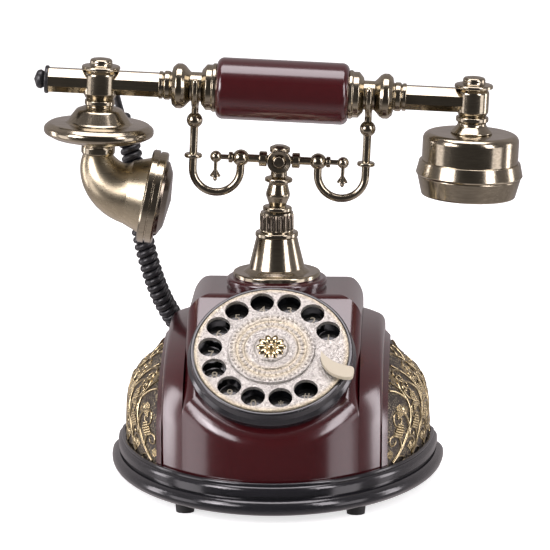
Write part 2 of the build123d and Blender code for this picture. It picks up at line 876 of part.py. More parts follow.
def make_plunger():
    shaft = plunger_shaft_diameter / 2
    ring = plunger_ring_diameter / 2
    vase = vase_diameter / 2
    waist = vase_waist_diameter / 2
    low = collar_top + plunger_rest_gap
    vase_low = low + plunger_ring_height
    vase_top = vase_low + vase_height - plunger_ring_height
    stop = plunger_stop_diameter / 2
    stop_top = body_top - block_wall - hook_travel - 2 * loose_gap
    stop_low = stop_top - plunger_stop_height
    collar = ring - vase_collar_inset
    plunger = turned((0, plunger_bottom, 0), (shaft, plunger_bottom, plunger_tip_round), (shaft, stop_low, 0),
                     (stop, stop_low, soft_round), (stop, stop_top, soft_round), (shaft, stop_top, 0),
                     (shaft, low, 0), (ring, low, bead_round), (ring, vase_low, bead_round),
                     (waist, vase_low + vase_foot, 0),
                     (vase, vase_low + vase_height * vase_belly_share, vase_belly_round),
                     (waist + vase_neck_step, vase_top - vase_neck_height, vase_neck_height),
                     (collar, vase_top, light_round), (collar, vase_top + vase_collar_height, bead_round),
                     (waist, vase_top + vase_tip_height, 0),
                     (waist - vase_tip_step, hub_z - hub_half_height, 0), (0, hub_z - hub_half_height, 0))
    return leaned(Pos(0, stem_y, 0) * plunger)


def make_cradle_hub():
    wide = hub_diameter / 2
    cap = hub_cap_width / 2
    hub = turned((0, -hub_half_height, 0), (wide - hub_foot_inset, -hub_half_height, 0),
                 (wide, hub_belly_low, swell_round), (wide, hub_belly_high, swell_round),
                 (cap - hub_cap_edge, hub_neck_top, 0), (cap, hub_cap_low, soft_round),
                 (cap, hub_cap_height - hub_cap_edge, hub_cap_round),
                 (cap - hub_cap_slope, hub_cap_height, edge_round), (0, hub_cap_height, 0))
    hub = hub + Plane(origin=(0, 0, 0), x_dir=(1, 0, 0), z_dir=(0, -1, 0)) * hub_boss()
    for sign in (-1, 1):
        hub = hub + cradle_arm(sign)
    return leaned(Pos(0, stem_y, hub_z) * hub)


def hub_boss():
    """Round boss with a domed middle on the front of the cradle's hub."""
    back = vase_waist_diameter / 2 + slide_gap
    rim = boss_diameter / 2
    dome = boss_dome_diameter / 2
    return turned((0, back, 0), (rim - boss_foot_inset, back, 0),
                  (rim, boss_reach - boss_rim_height, light_round), (rim, boss_reach, edge_round),
                  (dome, boss_reach - boss_dish_depth, 0),
                  (dome - boss_dome_slope, boss_reach + boss_dish_depth, bead_round),
                  (0, boss_reach + boss_dome_peak, 0))


def cradle_arm(sign):
    """One arm of the cradle's cross, from the hub's middle to its end ball and hanging drop."""
    collar = arm_collar_diameter / 2
    arm = arm_diameter / 2
    thin = thin_arm_diameter / 2
    ring = arm_ring_diameter / 2
    collar_start = arm_collar_end - arm_collar_length
    ring_start = arm_ring_x - arm_ring_length / 2
    ring_end = arm_ring_x + arm_ring_length / 2
    turned_arm = turned((0, 0, 0), (arm, 0, 0), (arm, collar_start, 0), (collar, collar_start, bead_round),
                        (collar, arm_collar_end, bead_round), (arm, arm_collar_end, 0),
                        (arm, ring_start, 0), (ring, ring_start, edge_round), (ring, ring_end, edge_round),
                        (thin, ring_end, 0), (thin, end_ball_x, 0), (0, end_ball_x, 0))
    laid = Plane(origin=(0, 0, 0), x_dir=(0, 1, 0), z_dir=(sign, 0, 0)) * turned_arm
    ball = Pos(sign * ball_x, 0, 0) * Sphere(ball_diameter / 2)
    reach = 2 * ball_diameter
    below = Pos(sign * ball_x, 0, -ball_flat - ball_diameter) * Box(reach, reach, reach)
    end_ball = Pos(sign * end_ball_x, 0, 0) * Sphere(end_ball_diameter / 2)
    return laid + (ball - below) + end_ball + Pos(sign * end_ball_x, 0, 0) * arm_drop()


def arm_drop():
    """Flared drop that hangs from the ball at the end of a cradle arm."""
    flare = drop_flare_diameter / 2
    tip = drop_tip_diameter / 2
    low = -end_ball_diameter / 2 - drop_length
    stalk = tip * drop_stalk_share
    return turned((0, 0, 0), (stalk, 0, 0), (stalk, low + drop_flare_start, 0),
                  (flare, low + drop_flare_high, edge_round), (flare, low + drop_flare_low, hair_round),
                  (stalk, low + drop_waist, 0), (tip, low + tip, bead_round), (0, low, 0))


def half_ring(radius, thickness):
    """Lower half of a round ring that stands in the XZ plane."""
    ring = Rot(90, 0, 0) * Torus(radius, thickness / 2)
    reach = 4 * radius
    return ring & (Pos(0, 0, -reach / 2) * Box(reach, reach, reach))


def make_hook(sign):
    """U hook from the cradle's ball out and up to the fork that carries one neck of the handset."""
    bend = (fork_x - ball_x) / 2
    bend_z = hub_z - ball_flat - hook_leg
    fork_ball_z = hub_z + fork_ball_rise
    inner = bar(hook_tube_diameter, bend_z, hub_z - ball_flat)
    outer = bar(hook_tube_diameter, bend_z, fork_ball_z)
    ring_low = hub_z - fork_ring_height / 2
    ring_top_z = ring_low + fork_ring_height
    wide = fork_ring_diameter / 2
    ring = turned((0, ring_low, 0), (wide, ring_low, fork_ring_round), (wide, ring_top_z, fork_ring_round),
                  (0, ring_top_z, 0))
    ball = Pos(0, 0, fork_ball_z) * Sphere(fork_ball_diameter / 2)
    stalk = bar(fork_prong_diameter, fork_ball_z, handset_z - fork_radius)
    hook = Pos(sign * (ball_x + bend), 0, bend_z) * half_ring(bend, hook_tube_diameter)
    hook = hook + Pos(sign * ball_x, 0, 0) * inner
    hook = hook + Pos(sign * fork_x, 0, 0) * (outer + ring + ball + stalk + fork_yoke())
    return leaned(Pos(0, stem_y, 0) * hook)


def fork_yoke():
    """Two prongs joined by a half ring under the handset's neck."""
    prong_top = handset_z + fork_prong_rise
    yoke = Pos(0, 0, handset_z) * (Rot(0, 0, 90) * half_ring(fork_radius, fork_prong_diameter))
    prong = bar(fork_prong_diameter, handset_z, prong_top)
    prong = prong + Pos(0, 0, prong_top) * Sphere(fork_prong_diameter / 2)
    return yoke + Pos(0, -fork_radius, 0) * prong + Pos(0, fork_radius, 0) * prong


def make_grip():
    half = grip_length / 2
    bore = tie_rod_diameter / 2 + seat_gap
    wide = grip_diameter / 2
    grip = turned((bore, -half, 0), (wide, -half, grip_end_round), (wide, half, grip_end_round),
                  (bore, half, 0))
    return leaned(along_handset(1, grip))


def make_tie_rod():
    return leaned(along_handset(1, bar(tie_rod_diameter, -tie_rod_length / 2, tie_rod_length / 2)))


def make_neck(sign):
    bore = tie_rod_diameter / 2 + seat_gap
    ferrule = ferrule_diameter / 2
    neck = neck_diameter / 2
    bulb = bulb_diameter / 2
    ring = neck_ring_diameter / 2
    flange = neck_flange_diameter / 2
    start = grip_length / 2
    waist_low = fork_x - neck_length / 2
    waist_high = fork_x + neck_length / 2
    bulb_end = bulb_start + bulb_length
    ring_end = bulb_end + neck_ring_length
    rod_end = tie_rod_length / 2 + seat_gap
    piece = turned((bore, start, 0), (ferrule, start, edge_round),
                   (ferrule, start + ferrule_band, light_round),
                   (ferrule - ferrule_step, start + ferrule_slope, fine_round),
                   (ferrule - ferrule_step, neck_start - ferrule_slope, edge_round),
                   (neck + neck_foot_flare, neck_start, edge_round),
                   (neck, waist_low, 0), (neck, waist_high, 0),
                   (neck + neck_head_flare, bulb_start - bulb_step, light_round),
                   (bulb - bulb_lip, bulb_start + bulb_step, edge_round),
                   (bulb, bulb_start + bulb_front, bulb_front_round),
                   (bulb, bulb_end - bulb_back, swell_round),
                   (bulb - bulb_back_slope, bulb_end - bulb_step, bead_round),
                   (ring - neck_ring_step, bulb_end, fine_round),
                   (ring, bulb_end + neck_ring_edge, bead_round),
                   (ring, ring_end - neck_ring_edge, bead_round),
                   (flange - neck_ring_step, ring_end, hair_round),
                   (flange, ring_end + neck_flange_edge, fine_round), (flange, neck_end, soft_round),
                   (0, neck_end, 0), (0, rod_end, 0), (bore, rod_end, 0))
    return leaned(along_handset(sign, piece))


def octagon_bar(across_flats, start, end):
    """Octagonal bar about Z with a flat on top."""
    face = RegularPolygon(across_flats / 2, 8, major_radius=False, rotation=360 / 16)
    return slab(face, start, end)


def make_mouth_rod():
    return leaned(along_handset(-1, octagon_bar(rod_across_flats, neck_end, mouth_rod_end)))


def make_ear_rod():
    return leaned(along_handset(1, octagon_bar(rod_across_flats, neck_end, ear_rod_end())))


def ear_rod_end():
    """The ear rod stops inside its knob, short of the far wall."""
    return ear_x + ear_knob_diameter / 2 - knob_far_wall


def make_rod_finial():
    flange_end = mouth_rod_end + finial_flange_length
    flange = finial_flange_diameter / 2
    ball = finial_ball_diameter / 2
    finial = turned((0, mouth_rod_end, 0), (flange, mouth_rod_end, light_round),
                    (flange, flange_end, bead_round),
                    (ball - finial_neck_inset, flange_end, 0),
                    (ball, flange_end + finial_swell_height, finial_swell_round),
                    (ball - finial_crown_inset, flange_end + finial_crown_height, swell_round),
                    (0, flange_end + finial_tip_height, 0))
    return leaned(along_handset(-1, finial))


def knob(diameter, foot_outline):
    """Turned knob that a handset rod runs into, with its own foot below."""
    barrel = diameter / 2
    disc = knob_disc_diameter / 2
    button = knob_button_diameter / 2
    return turned(*foot_outline, (barrel - knob_foot_inset, knob_bottom, fine_round),
                  (barrel, knob_bottom + knob_foot_swell, swell_round),
                  (barrel, knob_top - knob_head_swell, swell_round),
                  (barrel - knob_head_inset, knob_top, fine_round),
                  (disc, knob_top + knob_disc_gap, light_round),
                  (disc, knob_disc_top - knob_disc_edge, knob_disc_round),
                  (button + knob_button_flare, knob_disc_top, fine_round),
                  (button, knob_disc_top + knob_button_edge, light_round),
                  (button, knob_button_top - knob_button_edge, knob_button_round), (0, knob_button_top, 0))


def make_mouth_knob():
    spigot = saucer_neck_diameter / 2 - knob_spigot_inset
    foot = [(0, knob_foot_bottom, 0), (spigot, knob_foot_bottom, 0)]
    piece = hung(-mouth_x, knob(knob_diameter, foot))
    piece = piece - along_handset(-1, octagon_bar(rod_across_flats + 2 * seat_gap, neck_end, mouth_rod_end))
    reach = knob_diameter / 2
    seat = Plane(origin=(-mouth_x, stem_y, handset_z), z_dir=(0, 1, 0))
    pad_diameter = boot_foot_diameter + 2 * boot_pad_margin
    pad = seat * bar(pad_diameter, rod_across_flats / 2 + 4 * seat_gap, reach + boot_pad_proud)
    return leaned(piece + pad)


def make_ear_knob():
    ring = ear_neck_ring_diameter / 2
    neck = ear_neck_diameter / 2
    foot = [(0, can_top, 0), (neck + ear_foot_flare, can_top, edge_round),
            (neck + ear_foot_step, can_top + ear_foot_step_height, edge_round),
            (neck, can_top + ear_foot_height, swell_round),
            (neck, knob_foot_bottom - ear_bead_start, light_round),
            (ring, knob_foot_bottom - ear_bead_low, edge_round),
            (ring, knob_foot_bottom + ear_bead_high, edge_round),
            (neck - ear_neck_inset, knob_foot_bottom + ear_bead_end, 0)]
    piece = hung(ear_x, knob(ear_knob_diameter, foot))
    return leaned(piece - along_handset(1, octagon_bar(rod_across_flats + 2 * seat_gap, neck_end,
                                                       ear_rod_end() + seat_gap)))


def make_mouth_saucer():
    neck = saucer_neck_diameter / 2
    dome = saucer_dome_diameter / 2
    wide = saucer_diameter / 2
    collar = horn_collar_diameter / 2
    saucer = turned((0, knob_foot_bottom, 0), (neck, knob_foot_bottom, edge_round),
                    (neck, knob_foot_bottom - saucer_neck_length, edge_round),
                    (neck - saucer_neck_inset, saucer_dome_top, soft_round),
                    (dome - saucer_dome_slope, saucer_dome_top - saucer_dome_shoulder, saucer_dome_round),
                    (dome, saucer_dome_bottom, saucer_dome_round),
                    (dome + saucer_step, saucer_top + saucer_step_rise, bead_round),
                    (wide - saucer_rim_slope, saucer_top, saucer_rim_slope),
                    (wide, saucer_top - saucer_rim_drop, saucer_round),
                    (wide, saucer_bottom + saucer_rim_lift, saucer_round),
                    (wide - saucer_under_slope, saucer_bottom, saucer_under_round),
                    (collar + saucer_cove_width, horn_collar_top + saucer_cove_height, saucer_cove_round),
                    (collar - horn_collar_neck, horn_collar_top, fine_round),
                    (collar, horn_collar_top - horn_collar_edge, edge_round),
                    (collar, horn_top + horn_collar_foot, bead_round),
                    (collar - horn_collar_edge, horn_top, 0), (0, horn_top, 0))
    return leaned(hung(-mouth_x, saucer - saucer_hollow()))


def saucer_hollow():
    """Hollow of the saucer, open to the horn below and to the knob's wire hole above."""
    throat = horn_throat_diameter / 2 - saucer_wall
    dome = saucer_dome_diameter / 2 - saucer_wall
    wide = saucer_diameter / 2 - 2 * saucer_wall
    wire = saucer_wire_hole / 2
    return turned((0, horn_top, 0), (throat, horn_top, 0), (throat, horn_collar_top + saucer_wall, 0),
                  (wide, saucer_bottom + saucer_wall, 0), (wide, saucer_top - saucer_wall, 0),
                  (dome - saucer_wall, saucer_top - saucer_wall, 0),
                  (dome - 2 * saucer_wall, saucer_dome_top - 2 * saucer_wall, 0),
                  (wire, saucer_dome_top - saucer_wall, 0), (wire, knob_foot_bottom, 0),
                  (0, knob_foot_bottom, 0))


def horn_direction():
    """Way that the horn's mouth points."""
    return Vector(math.cos(math.radians(horn_dip)), 0, -math.sin(math.radians(horn_dip)))


def horn_planes():
    """Section planes round the horn's elbow, from its throat to its mouth."""
    turn = 90 - horn_dip
    planes = []
    for i in range(horn_stations):
        angle = math.radians(turn * i / (horn_stations - 1))
        x = horn_bend_radius * (1 - math.cos(angle))
        z = horn_top - horn_bend_radius * math.sin(angle)
        way = Vector(math.sin(angle), 0, -math.cos(angle))
        planes.append(Plane(origin=(x, 0, z), x_dir=(0, 1, 0), z_dir=way))
    end = planes[-1].origin + horn_direction() * horn_flare_length
    planes.append(Plane(origin=end, x_dir=(0, 1, 0), z_dir=horn_direction()))
    return planes


def horn_form(wall):
    """Elbow that widens from its throat to the seam, then flares to the rim."""
    planes = horn_planes()
    growth = horn_seam_diameter - horn_throat_diameter
    sections = []
    for i in range(horn_stations):
        share = (i / (horn_stations - 1)) ** horn_growth_power
        sections.append(planes[i] * Circle((horn_throat_diameter + growth * share) / 2 - wall))
    elbow = loft(sections)
    flare = loft([sections[-1], planes[-1] * Circle(horn_mouth_diameter / 2 - wall)])
    return elbow + flare


def make_mouth_horn():
    return leaned(hung(-mouth_x, horn_form(0) - horn_form(horn_wall)))


def at_horn_mouth(solid):
    """A piece turned about Z, set on the horn's mouth and facing out of it."""
    plane = horn_planes()[-1]
    return leaned(hung(-mouth_x, plane * solid))


def make_mouth_rim():
    outer = rim_diameter / 2
    bore = horn_mouth_diameter / 2 - horn_wall
    middle = rim_length / 2
    half_groove = rim_groove_width / 2
    front = outer - rim_front_step
    groove = outer - rim_groove_depth
    rim = turned((bore, 0, 0), (outer - rim_back_edge, 0, soft_round), (outer, rim_back_edge, soft_round),
                 (outer, middle - half_groove, hair_round), (groove, middle - half_groove, 0),
                 (groove, middle + half_groove, 0), (front, middle + half_groove, hair_round),
                 (front, rim_length - rim_front_edge, edge_round),
                 (front - rim_front_edge, rim_length, fine_round), (bore, rim_length, 0))
    return at_horn_mouth(rim)


def make_mouth_cap():
    wide = mouth_cap_diameter / 2
    crown = rim_length + mouth_cap_height * mouth_cap_crown_height_share
    cap = turned((0, rim_length, 0), (wide, rim_length, 0),
                 (wide - mouth_cap_edge_inset, rim_length + mouth_cap_edge_height, light_round),
                 (wide * mouth_cap_crown_share, crown, mouth_cap_round),
                 (0, rim_length + mouth_cap_height, 0))
    return at_horn_mouth(cap)


def make_microphone():
    return at_horn_mouth(bar(microphone_diameter, rim_length - microphone_length, rim_length))


def make_ear_can():
    wide = can_diameter / 2
    inner = wide - can_wall
    can = turned((0, can_top, 0), (wide, can_top, can_round), (wide, can_bottom, 0), (inner, can_bottom, 0),
                 (inner, can_top - can_wall, can_inner_round), (0, can_top - can_wall, 0))
    return leaned(hung(ear_x, can))


def make_ear_ring():
    bore = can_diameter / 2 - can_wall
    low = ear_ring_bottom_diameter / 2
    ring = turned((bore, can_bottom, 0), (ear_ring_top_diameter / 2, can_bottom, soft_round),
                  (low, ear_ring_bottom + ear_ring_edge, soft_round),
                  (low - ear_ring_inset, ear_ring_bottom, 0),
                  (bore, ear_ring_bottom, 0))
    return leaned(hung(ear_x, ring))


def make_ear_cap():
    top = ear_cap_top_diameter / 2
    low = ear_cap_bottom_diameter / 2
    dish_top = ear_cap_bottom + ear_cap_dish_depth
    cap = turned((0, ear_ring_bottom, 0), (top - ear_cap_seat_inset, ear_ring_bottom, 0),
                 (top, ear_ring_bottom - ear_cap_edge, soft_round), (low, ear_cap_bottom, ear_cap_rim_round),
                 (low - ear_cap_rim_width, ear_cap_bottom, bead_round),
                 (low * ear_cap_dish_share, dish_top, ear_cap_dish_round), (0, dish_top, 0))
    cap = cap - bar(ear_cap_pocket_diameter, dish_top + ear_cap_floor, ear_ring_bottom)
    hole = bar(ear_hole_diameter, ear_cap_bottom, ear_ring_bottom)
    cap = cap - hole
    for i in range(ear_hole_count):
        cap = cap - Rot(0, 0, 360 * i / ear_hole_count) * Pos(ear_hole_ring_radius, 0, 0) * hole
    return leaned(hung(ear_x, cap))


def make_receiver():
    return leaned(hung(ear_x, bar(receiver_diameter, ear_ring_bottom, ear_ring_bottom + receiver_height)))


def make_main_circuit_board():
    z = base_floor + board_post_height + board_thickness / 2
    return Pos(0, board_y, z) * Box(board_length, board_width, board_thickness)


def make_ringer():
    return Pos(0, ringer_y, 0) * bar(ringer_diameter, base_floor, base_floor + ringer_height)


def plunger_tip():
    """Lowest point of the leaned plunger."""
    drop = lean_pivot_z - plunger_bottom
    angle = math.radians(lean_angle)
    return Vector(-drop * math.sin(angle), stem_y, lean_pivot_z - drop * math.cos(angle))


def make_hook_switch():
    """Switch hung under the body's top on a bracket, with a leaf that the plunger pushes down."""
    tip = plunger_tip()
    leaf_z = tip.Z - 2 * slide_gap - leaf_thickness / 2
    x = tip.X + plunger_shaft_diameter + switch_length / 2 + leaf_width
    block_z = leaf_z - switch_height / 2
    block = Pos(x, stem_y, block_z) * Box(switch_length, switch_width, switch_height)
    leaf_end = tip.X - leaf_width / 2
    leaf = Pos((leaf_end + x) / 2, stem_y, leaf_z) * Box(x - leaf_end, leaf_width, leaf_thickness)
    ceiling = body_top - block_wall
    bracket_x = x + (switch_length - bracket_thickness) / 2
    bracket = Box(bracket_thickness, switch_width, ceiling - block_z)
    bracket = Pos(bracket_x, stem_y, (ceiling + block_z) / 2) * bracket
    return block + leaf + bracket


def jack_y():
    """Outer face of the jacks, at the body's back wall."""
    share = math.sqrt(1 - (jack_x / body_half_width) ** 2)
    return widest_line + body_back_reach * share


def jack_block(sign, gap):
    """Outer form of one modular jack, grown by a gap."""
    y = jack_y() - jack_depth / 2 + jack_proud
    return Pos(sign * jack_x, y, jack_z) * Box(jack_width + 2 * gap, jack_depth, jack_height + 2 * gap)


def make_modular_jacks():
    jacks = []
    for sign in (-1, 1):
        socket_y = jack_y() + jack_proud - socket_depth / 2
        socket = Pos(sign * jack_x, socket_y, jack_z) * Box(socket_width, socket_depth, socket_height)
        jacks.append(jack_block(sign, 0) - socket)
    return Compound(jacks)


def plug_start():
    """Back end of the handset cord's plug, where the cord goes in."""
    return Vector(jack_x, jack_y() + jack_proud - plug_insert + plug_length, jack_z)


def make_cord_plug():
    back = plug_start()
    wide = socket_width - 2 * slide_gap
    tall = socket_height - 2 * slide_gap
    plug = Pos(back.X, back.Y - plug_length / 2, back.Z) * Box(wide, plug_length, tall)
    latch = Box(wide / 2, plug_length / 3, latch_height)
    latch = Pos(back.X, back.Y - plug_length / 3, back.Z + (tall + latch_height) / 2) * latch
    return plug + latch


def boot_end():
    """Place, in the leaned handset, where the cord leaves its boot behind the mouth knob."""
    straight = Vector(-mouth_x, stem_y + knob_diameter / 2 + boot_pad_proud + boot_length, handset_z)
    offset = straight - Vector(0, stem_y, lean_pivot_z)
    angle = math.radians(lean_angle)
    return Vector(offset.X * math.cos(angle) + offset.Z * math.sin(angle), straight.Y,
                  lean_pivot_z - offset.X * math.sin(angle) + offset.Z * math.cos(angle))


def make_cord_boot():
    wide = boot_foot_diameter / 2
    tip = cord_wire_diameter / 2 + boot_tip_wall
    boot = turned((0, 0, 0), (wide, 0, edge_round), (wide, boot_foot_length, edge_round),
                  (tip, boot_length, soft_round), (0, boot_length, 0))
    foot = Plane(origin=(-mouth_x, stem_y + knob_diameter / 2 + boot_pad_proud, handset_z), z_dir=(0, 1, 0))
    return leaned(foot * boot)


def rounded_route(points):
    """Path of straight runs, with each bend as large as its runs allow."""
    radii = []
    for before, here, after in zip(points, points[1:], points[2:]):
        first = Vector(here) - Vector(before)
        second = Vector(after) - Vector(here)
        turn = math.radians(first.get_angle(second))
        shorter = min(first.length, second.length)
        radii.append(cord_turn_limit * shorter / math.tan(turn / 2))
    print("cord bend radii", [round(radius, 1) for radius in radii])
    return FilletPolyline(*points, radius=radii)


def tube(points, diameter):
    """Round tube along a route."""
    path = rounded_route(points)
    start = Vector(points[0])
    section = Plane(origin=start, z_dir=Vector(points[1]) - start) * Circle(diameter / 2)
    solid = sweep(section, path=path)
    print("tube volume", round(solid.volume), "section times length",
          round(path.length * math.pi * diameter ** 2 / 4))
    return solid


def make_handset_cord():
    boot = boot_end()
    plug = plug_start()
    lead = [tuple(boot), (boot.X, boot.Y + lead_straight, boot.Z), *lead_route, coil_route[0]]
    tail = [coil_route[-1], *tail_route, (plug.X, plug.Y + tail_straight, plug.Z), tuple(plug)]
    coil = tube(coil_route, cord_coil_diameter)
    return coil + tube(lead, cord_wire_diameter) + tube(tail, cord_wire_diameter)


def build_nodes():
    nodes = {
        "plinth": make_plinth(),
        "base_plate": make_base_plate(),
        "base_screws": make_base_screws(),
        "rubber_feet": make_rubber_feet(),
        "body_shell": make_body_shell(),
        "side_frames": Compound([make_side_frame(sign) for name, sign in sides]),
        "dial_bezel": make_dial_bezel(),
        "finger_wheel": make_finger_wheel(),
        "dial_medallion": make_dial_medallion(),
        "keypad_board": make_keypad_board(),
        "redial_key": make_redial_key(),
        "stem_ring": make_stem_ring(),
        "stem_cone": make_stem_cone(),
        "knurled_collar": make_knurled_collar(),
        "main_circuit_board": make_main_circuit_board(),
        "hook_switch": make_hook_switch(),
        "ringer": make_ringer(),
        "modular_jacks": make_modular_jacks(),
        "plunger": make_plunger(),
        "cradle_hub": make_cradle_hub(),
        "grip": make_grip(),
        "tie_rod": make_tie_rod(),
        "mouth_rod": make_mouth_rod(),
        "ear_rod": make_ear_rod(),
        "rod_finial": make_rod_finial(),
        "mouth_knob": make_mouth_knob(),
        "ear_knob": make_ear_knob(),
        "mouth_saucer": make_mouth_saucer(),
        "mouth_horn": make_mouth_horn(),
        "mouth_rim": make_mouth_rim(),
        "mouth_cap": make_mouth_cap(),
        "microphone": make_microphone(),
        "ear_can": make_ear_can(),
        "ear_ring": make_ear_ring(),
        "ear_cap": make_ear_cap(),
        "receiver": make_receiver(),
        "cord_boot": make_cord_boot(),
        "cord_plug": make_cord_plug(),
        "handset_cord": make_handset_cord(),
    }
    for name, sign in sides:
        nodes[name + "_pilaster"] = make_pilaster(sign)
        nodes[name + "_vine_panel"] = make_vine_panel(sign)
        nodes[name + "_hook"] = make_hook(sign)
        nodes[name + "_neck"] = make_neck(sign)
    key_names = ["1", "2", "3", "4", "5", "6", "7", "8", "9", "0", "star", "hash"]
    key = make_key()
    for name, place in zip(key_names, hole_places()):
        nodes["key_" + name] = dial_plane * (place * key)
    return nodes


os.makedirs("parts", exist_ok=True)
for node_name, node_solid in build_nodes().items():
    export_step(node_solid, os.path.join("parts", node_name + ".step"))
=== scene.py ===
import json
import math

import bpy
from mathutils import Matrix, Vector
from mathutils.bvhtree import BVHTree


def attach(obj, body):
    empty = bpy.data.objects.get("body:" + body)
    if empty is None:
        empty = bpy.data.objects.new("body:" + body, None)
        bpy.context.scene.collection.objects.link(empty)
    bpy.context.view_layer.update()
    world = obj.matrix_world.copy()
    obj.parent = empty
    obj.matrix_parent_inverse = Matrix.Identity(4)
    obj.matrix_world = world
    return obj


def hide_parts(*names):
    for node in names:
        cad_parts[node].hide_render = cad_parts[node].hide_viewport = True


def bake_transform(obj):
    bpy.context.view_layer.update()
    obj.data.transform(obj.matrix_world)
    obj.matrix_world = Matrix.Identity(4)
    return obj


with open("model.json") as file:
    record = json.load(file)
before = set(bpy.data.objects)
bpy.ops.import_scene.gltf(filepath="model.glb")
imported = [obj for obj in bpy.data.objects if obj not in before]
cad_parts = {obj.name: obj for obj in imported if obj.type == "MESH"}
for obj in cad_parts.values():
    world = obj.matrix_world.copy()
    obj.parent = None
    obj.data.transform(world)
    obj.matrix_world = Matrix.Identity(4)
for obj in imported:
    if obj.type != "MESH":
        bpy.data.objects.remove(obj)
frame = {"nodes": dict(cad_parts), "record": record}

bl_info = {
    "name": "Antique Desk Telephone",
    "version": (1, 0, 0),
    "blender": (4, 5, 0),
    "location": "View3D > Sidebar > Telephone",
    "description": "Dresses the desk telephone: vine relief, dial ornament, curly cord, finishes and stage",
    "category": "Object",
}

# Sizes in metres, and angles, that the dial and the cord share with the solid model
DIAL_TILT = math.radians(38.8)
DIAL_SEAT = Vector((0.0, -0.04065, 0.0798))
KEY_TOP = 0.0048
HOLE_PITCH_RADIUS = 0.0337
WHEEL_RADIUS = 0.0426
FIRST_HOLE_ANGLE = 23.6
HOLE_SPACING_ANGLE = 25.67
MEDALLION_TOP = 0.0132
KEY_MARKS = (("1", "1"), ("2", "2"), ("3", "3"), ("4", "4"), ("5", "5"), ("6", "6"), ("7", "7"), ("8", "8"),
             ("9", "9"), ("0", "0"), ("star", "*"), ("hash", "#"))
LEAD_ROUTE = (
    (-0.09866, 0.0483, 0.22508),
    (-0.09866, 0.0595, 0.22508),
    (-0.0950, 0.0675, 0.2165),
)
COIL_ROUTE = (
    (-0.0910, 0.0675, 0.2010),
    (-0.0865, 0.0665, 0.1860),
    (-0.0830, 0.0645, 0.1680),
    (-0.0810, 0.0640, 0.1490),
    (-0.0785, 0.0645, 0.1280),
    (-0.0735, 0.0665, 0.1070),
    (-0.0670, 0.0725, 0.0880),
    (-0.0580, 0.0830, 0.0710),
    (-0.0465, 0.0960, 0.0580),
    (-0.0330, 0.1070, 0.0490),
)
TAIL_ROUTE = (
    (-0.0155, 0.1160, 0.0420),
    (-0.0005, 0.1180, 0.0380),
    (0.0102, 0.1133, 0.0363),
    (0.0160, 0.1040, 0.0360),
    (0.0160, 0.0928, 0.0360),
)

# Gold worn into the dial: distance from its middle as a share of the wheel's radius, and the share of gold
DIAL_GOLD = (
    (0.0, 0.25),
    (0.30, 0.0),
    (0.36, 0.5),
    (0.40, 0.1),
    (0.44, 0.55),
    (0.50, 0.2),
    (0.56, 0.0),
    (0.93, 0.05),
    (1.0, 0.7),
)
# Numbers on the keys: height of a capital as a share of the text size, thickness and lift above the key
MARK_CAPITAL = 0.7
MARK_THICKNESS = 0.00008
MARK_LIFT = 0.00006
# Medallion ornament: radius of each ring, half the length of a piece, its flatness and width as shares of its
# length, and its height above the medallion's top
BEAD_RING_RADIUS = 0.0221
BEAD_FLATNESS = 0.8
BAND_RADIUS = 0.0172
BAND_PETAL = 0.0015
BAND_PETAL_FLATNESS = 0.4
BAND_PETAL_WIDTH = 0.5
BAND_RISE = -0.0004
ROSETTE_RADIUS = 0.0053
ROSETTE_PETAL = 0.0031
ROSETTE_PETAL_FLATNESS = 0.42
ROSETTE_PETAL_WIDTH = 0.62
ROSETTE_RISE = 0.0010
ROSETTE_MIDDLE = 0.0026
ROSETTE_MIDDLE_FLATNESS = 0.7
ROSETTE_MIDDLE_RISE = 0.0014
# Rounding of a collar rib's ends, as a share of its radius
RIB_END_ROUND = 0.6

# Plain finishes: roughness of their coat, fineness of the pattern in their gloss and its change of roughness
COAT_ROUGHNESS = 0.16
GLOSS_SCALE = 160.0
GLOSS_CHANGE = 0.15
# Old metal: fineness of the patina's clouds, where clouds and scratches turn dark and by how much, and the
# metal's roughness
PATINA_SCALE = 42.0
PATINA_CLOUDS = ((0.35, 0.75), (0.0, 0.4))
PATINA_SCRATCHES = ((0.3, 0.7), (0.0, 0.28))
METAL_ROUGHNESS = (0.11, 0.22)
# Fineness of the brushed grain along each axis
GRAIN_ALONG_X = (90.0, 900.0, 900.0)
GRAIN_ACROSS_X = (900.0, 90.0, 90.0)
GRAIN_EVEN = (300.0, 300.0, 300.0)
WORN_METAL_SOCKETS = (
    ("Clean", "INPUT", "NodeSocketColor"),
    ("Dark", "INPUT", "NodeSocketColor"),
    ("Grain", "INPUT", "NodeSocketVector"),
    ("Satin", "INPUT", "NodeSocketFloat"),
    ("Colour", "OUTPUT", "NodeSocketColor"),
    ("Roughness", "OUTPUT", "NodeSocketFloat"),
    ("Height", "OUTPUT", "NodeSocketFloat"),
)
# Strength and depth of the relief in the brushed metal, and in the hammered and stippled faces
BRUSHED_RELIEF = (0.06, 0.0003)
BEATEN_RELIEF = (0.8, 0.0006)
# Hammered wheel: metal share, roughness, fineness of the marks and of the grain, and colour of the painted
# shade in the hollows
HAMMER_METALLIC = 0.7
HAMMER_ROUGHNESS = 0.38
HAMMER_SCALE = 980.0
HAMMER_GRAIN_SCALE = 900.0
HAMMER_PAINTED_SHADE = (0.42, 0.40, 0.40)
# Stippled ground: metal share, roughness, fineness of the dots and of the worn patches, where gold stays on
# the patches and the dots, and colour between the dots
STIPPLE_METALLIC = 0.6
STIPPLE_ROUGHNESS = 0.42
STIPPLE_SCALE = 820.0
STIPPLE_PATCH_SCALE = 85.0
STIPPLE_PATCHES = ((0.42, 0.60), (0.3, 1.0))
STIPPLE_DOTS = ((0.05, 0.5), (1.0, 0.0))
STIPPLE_GROUND = (0.060, 0.050, 0.045)
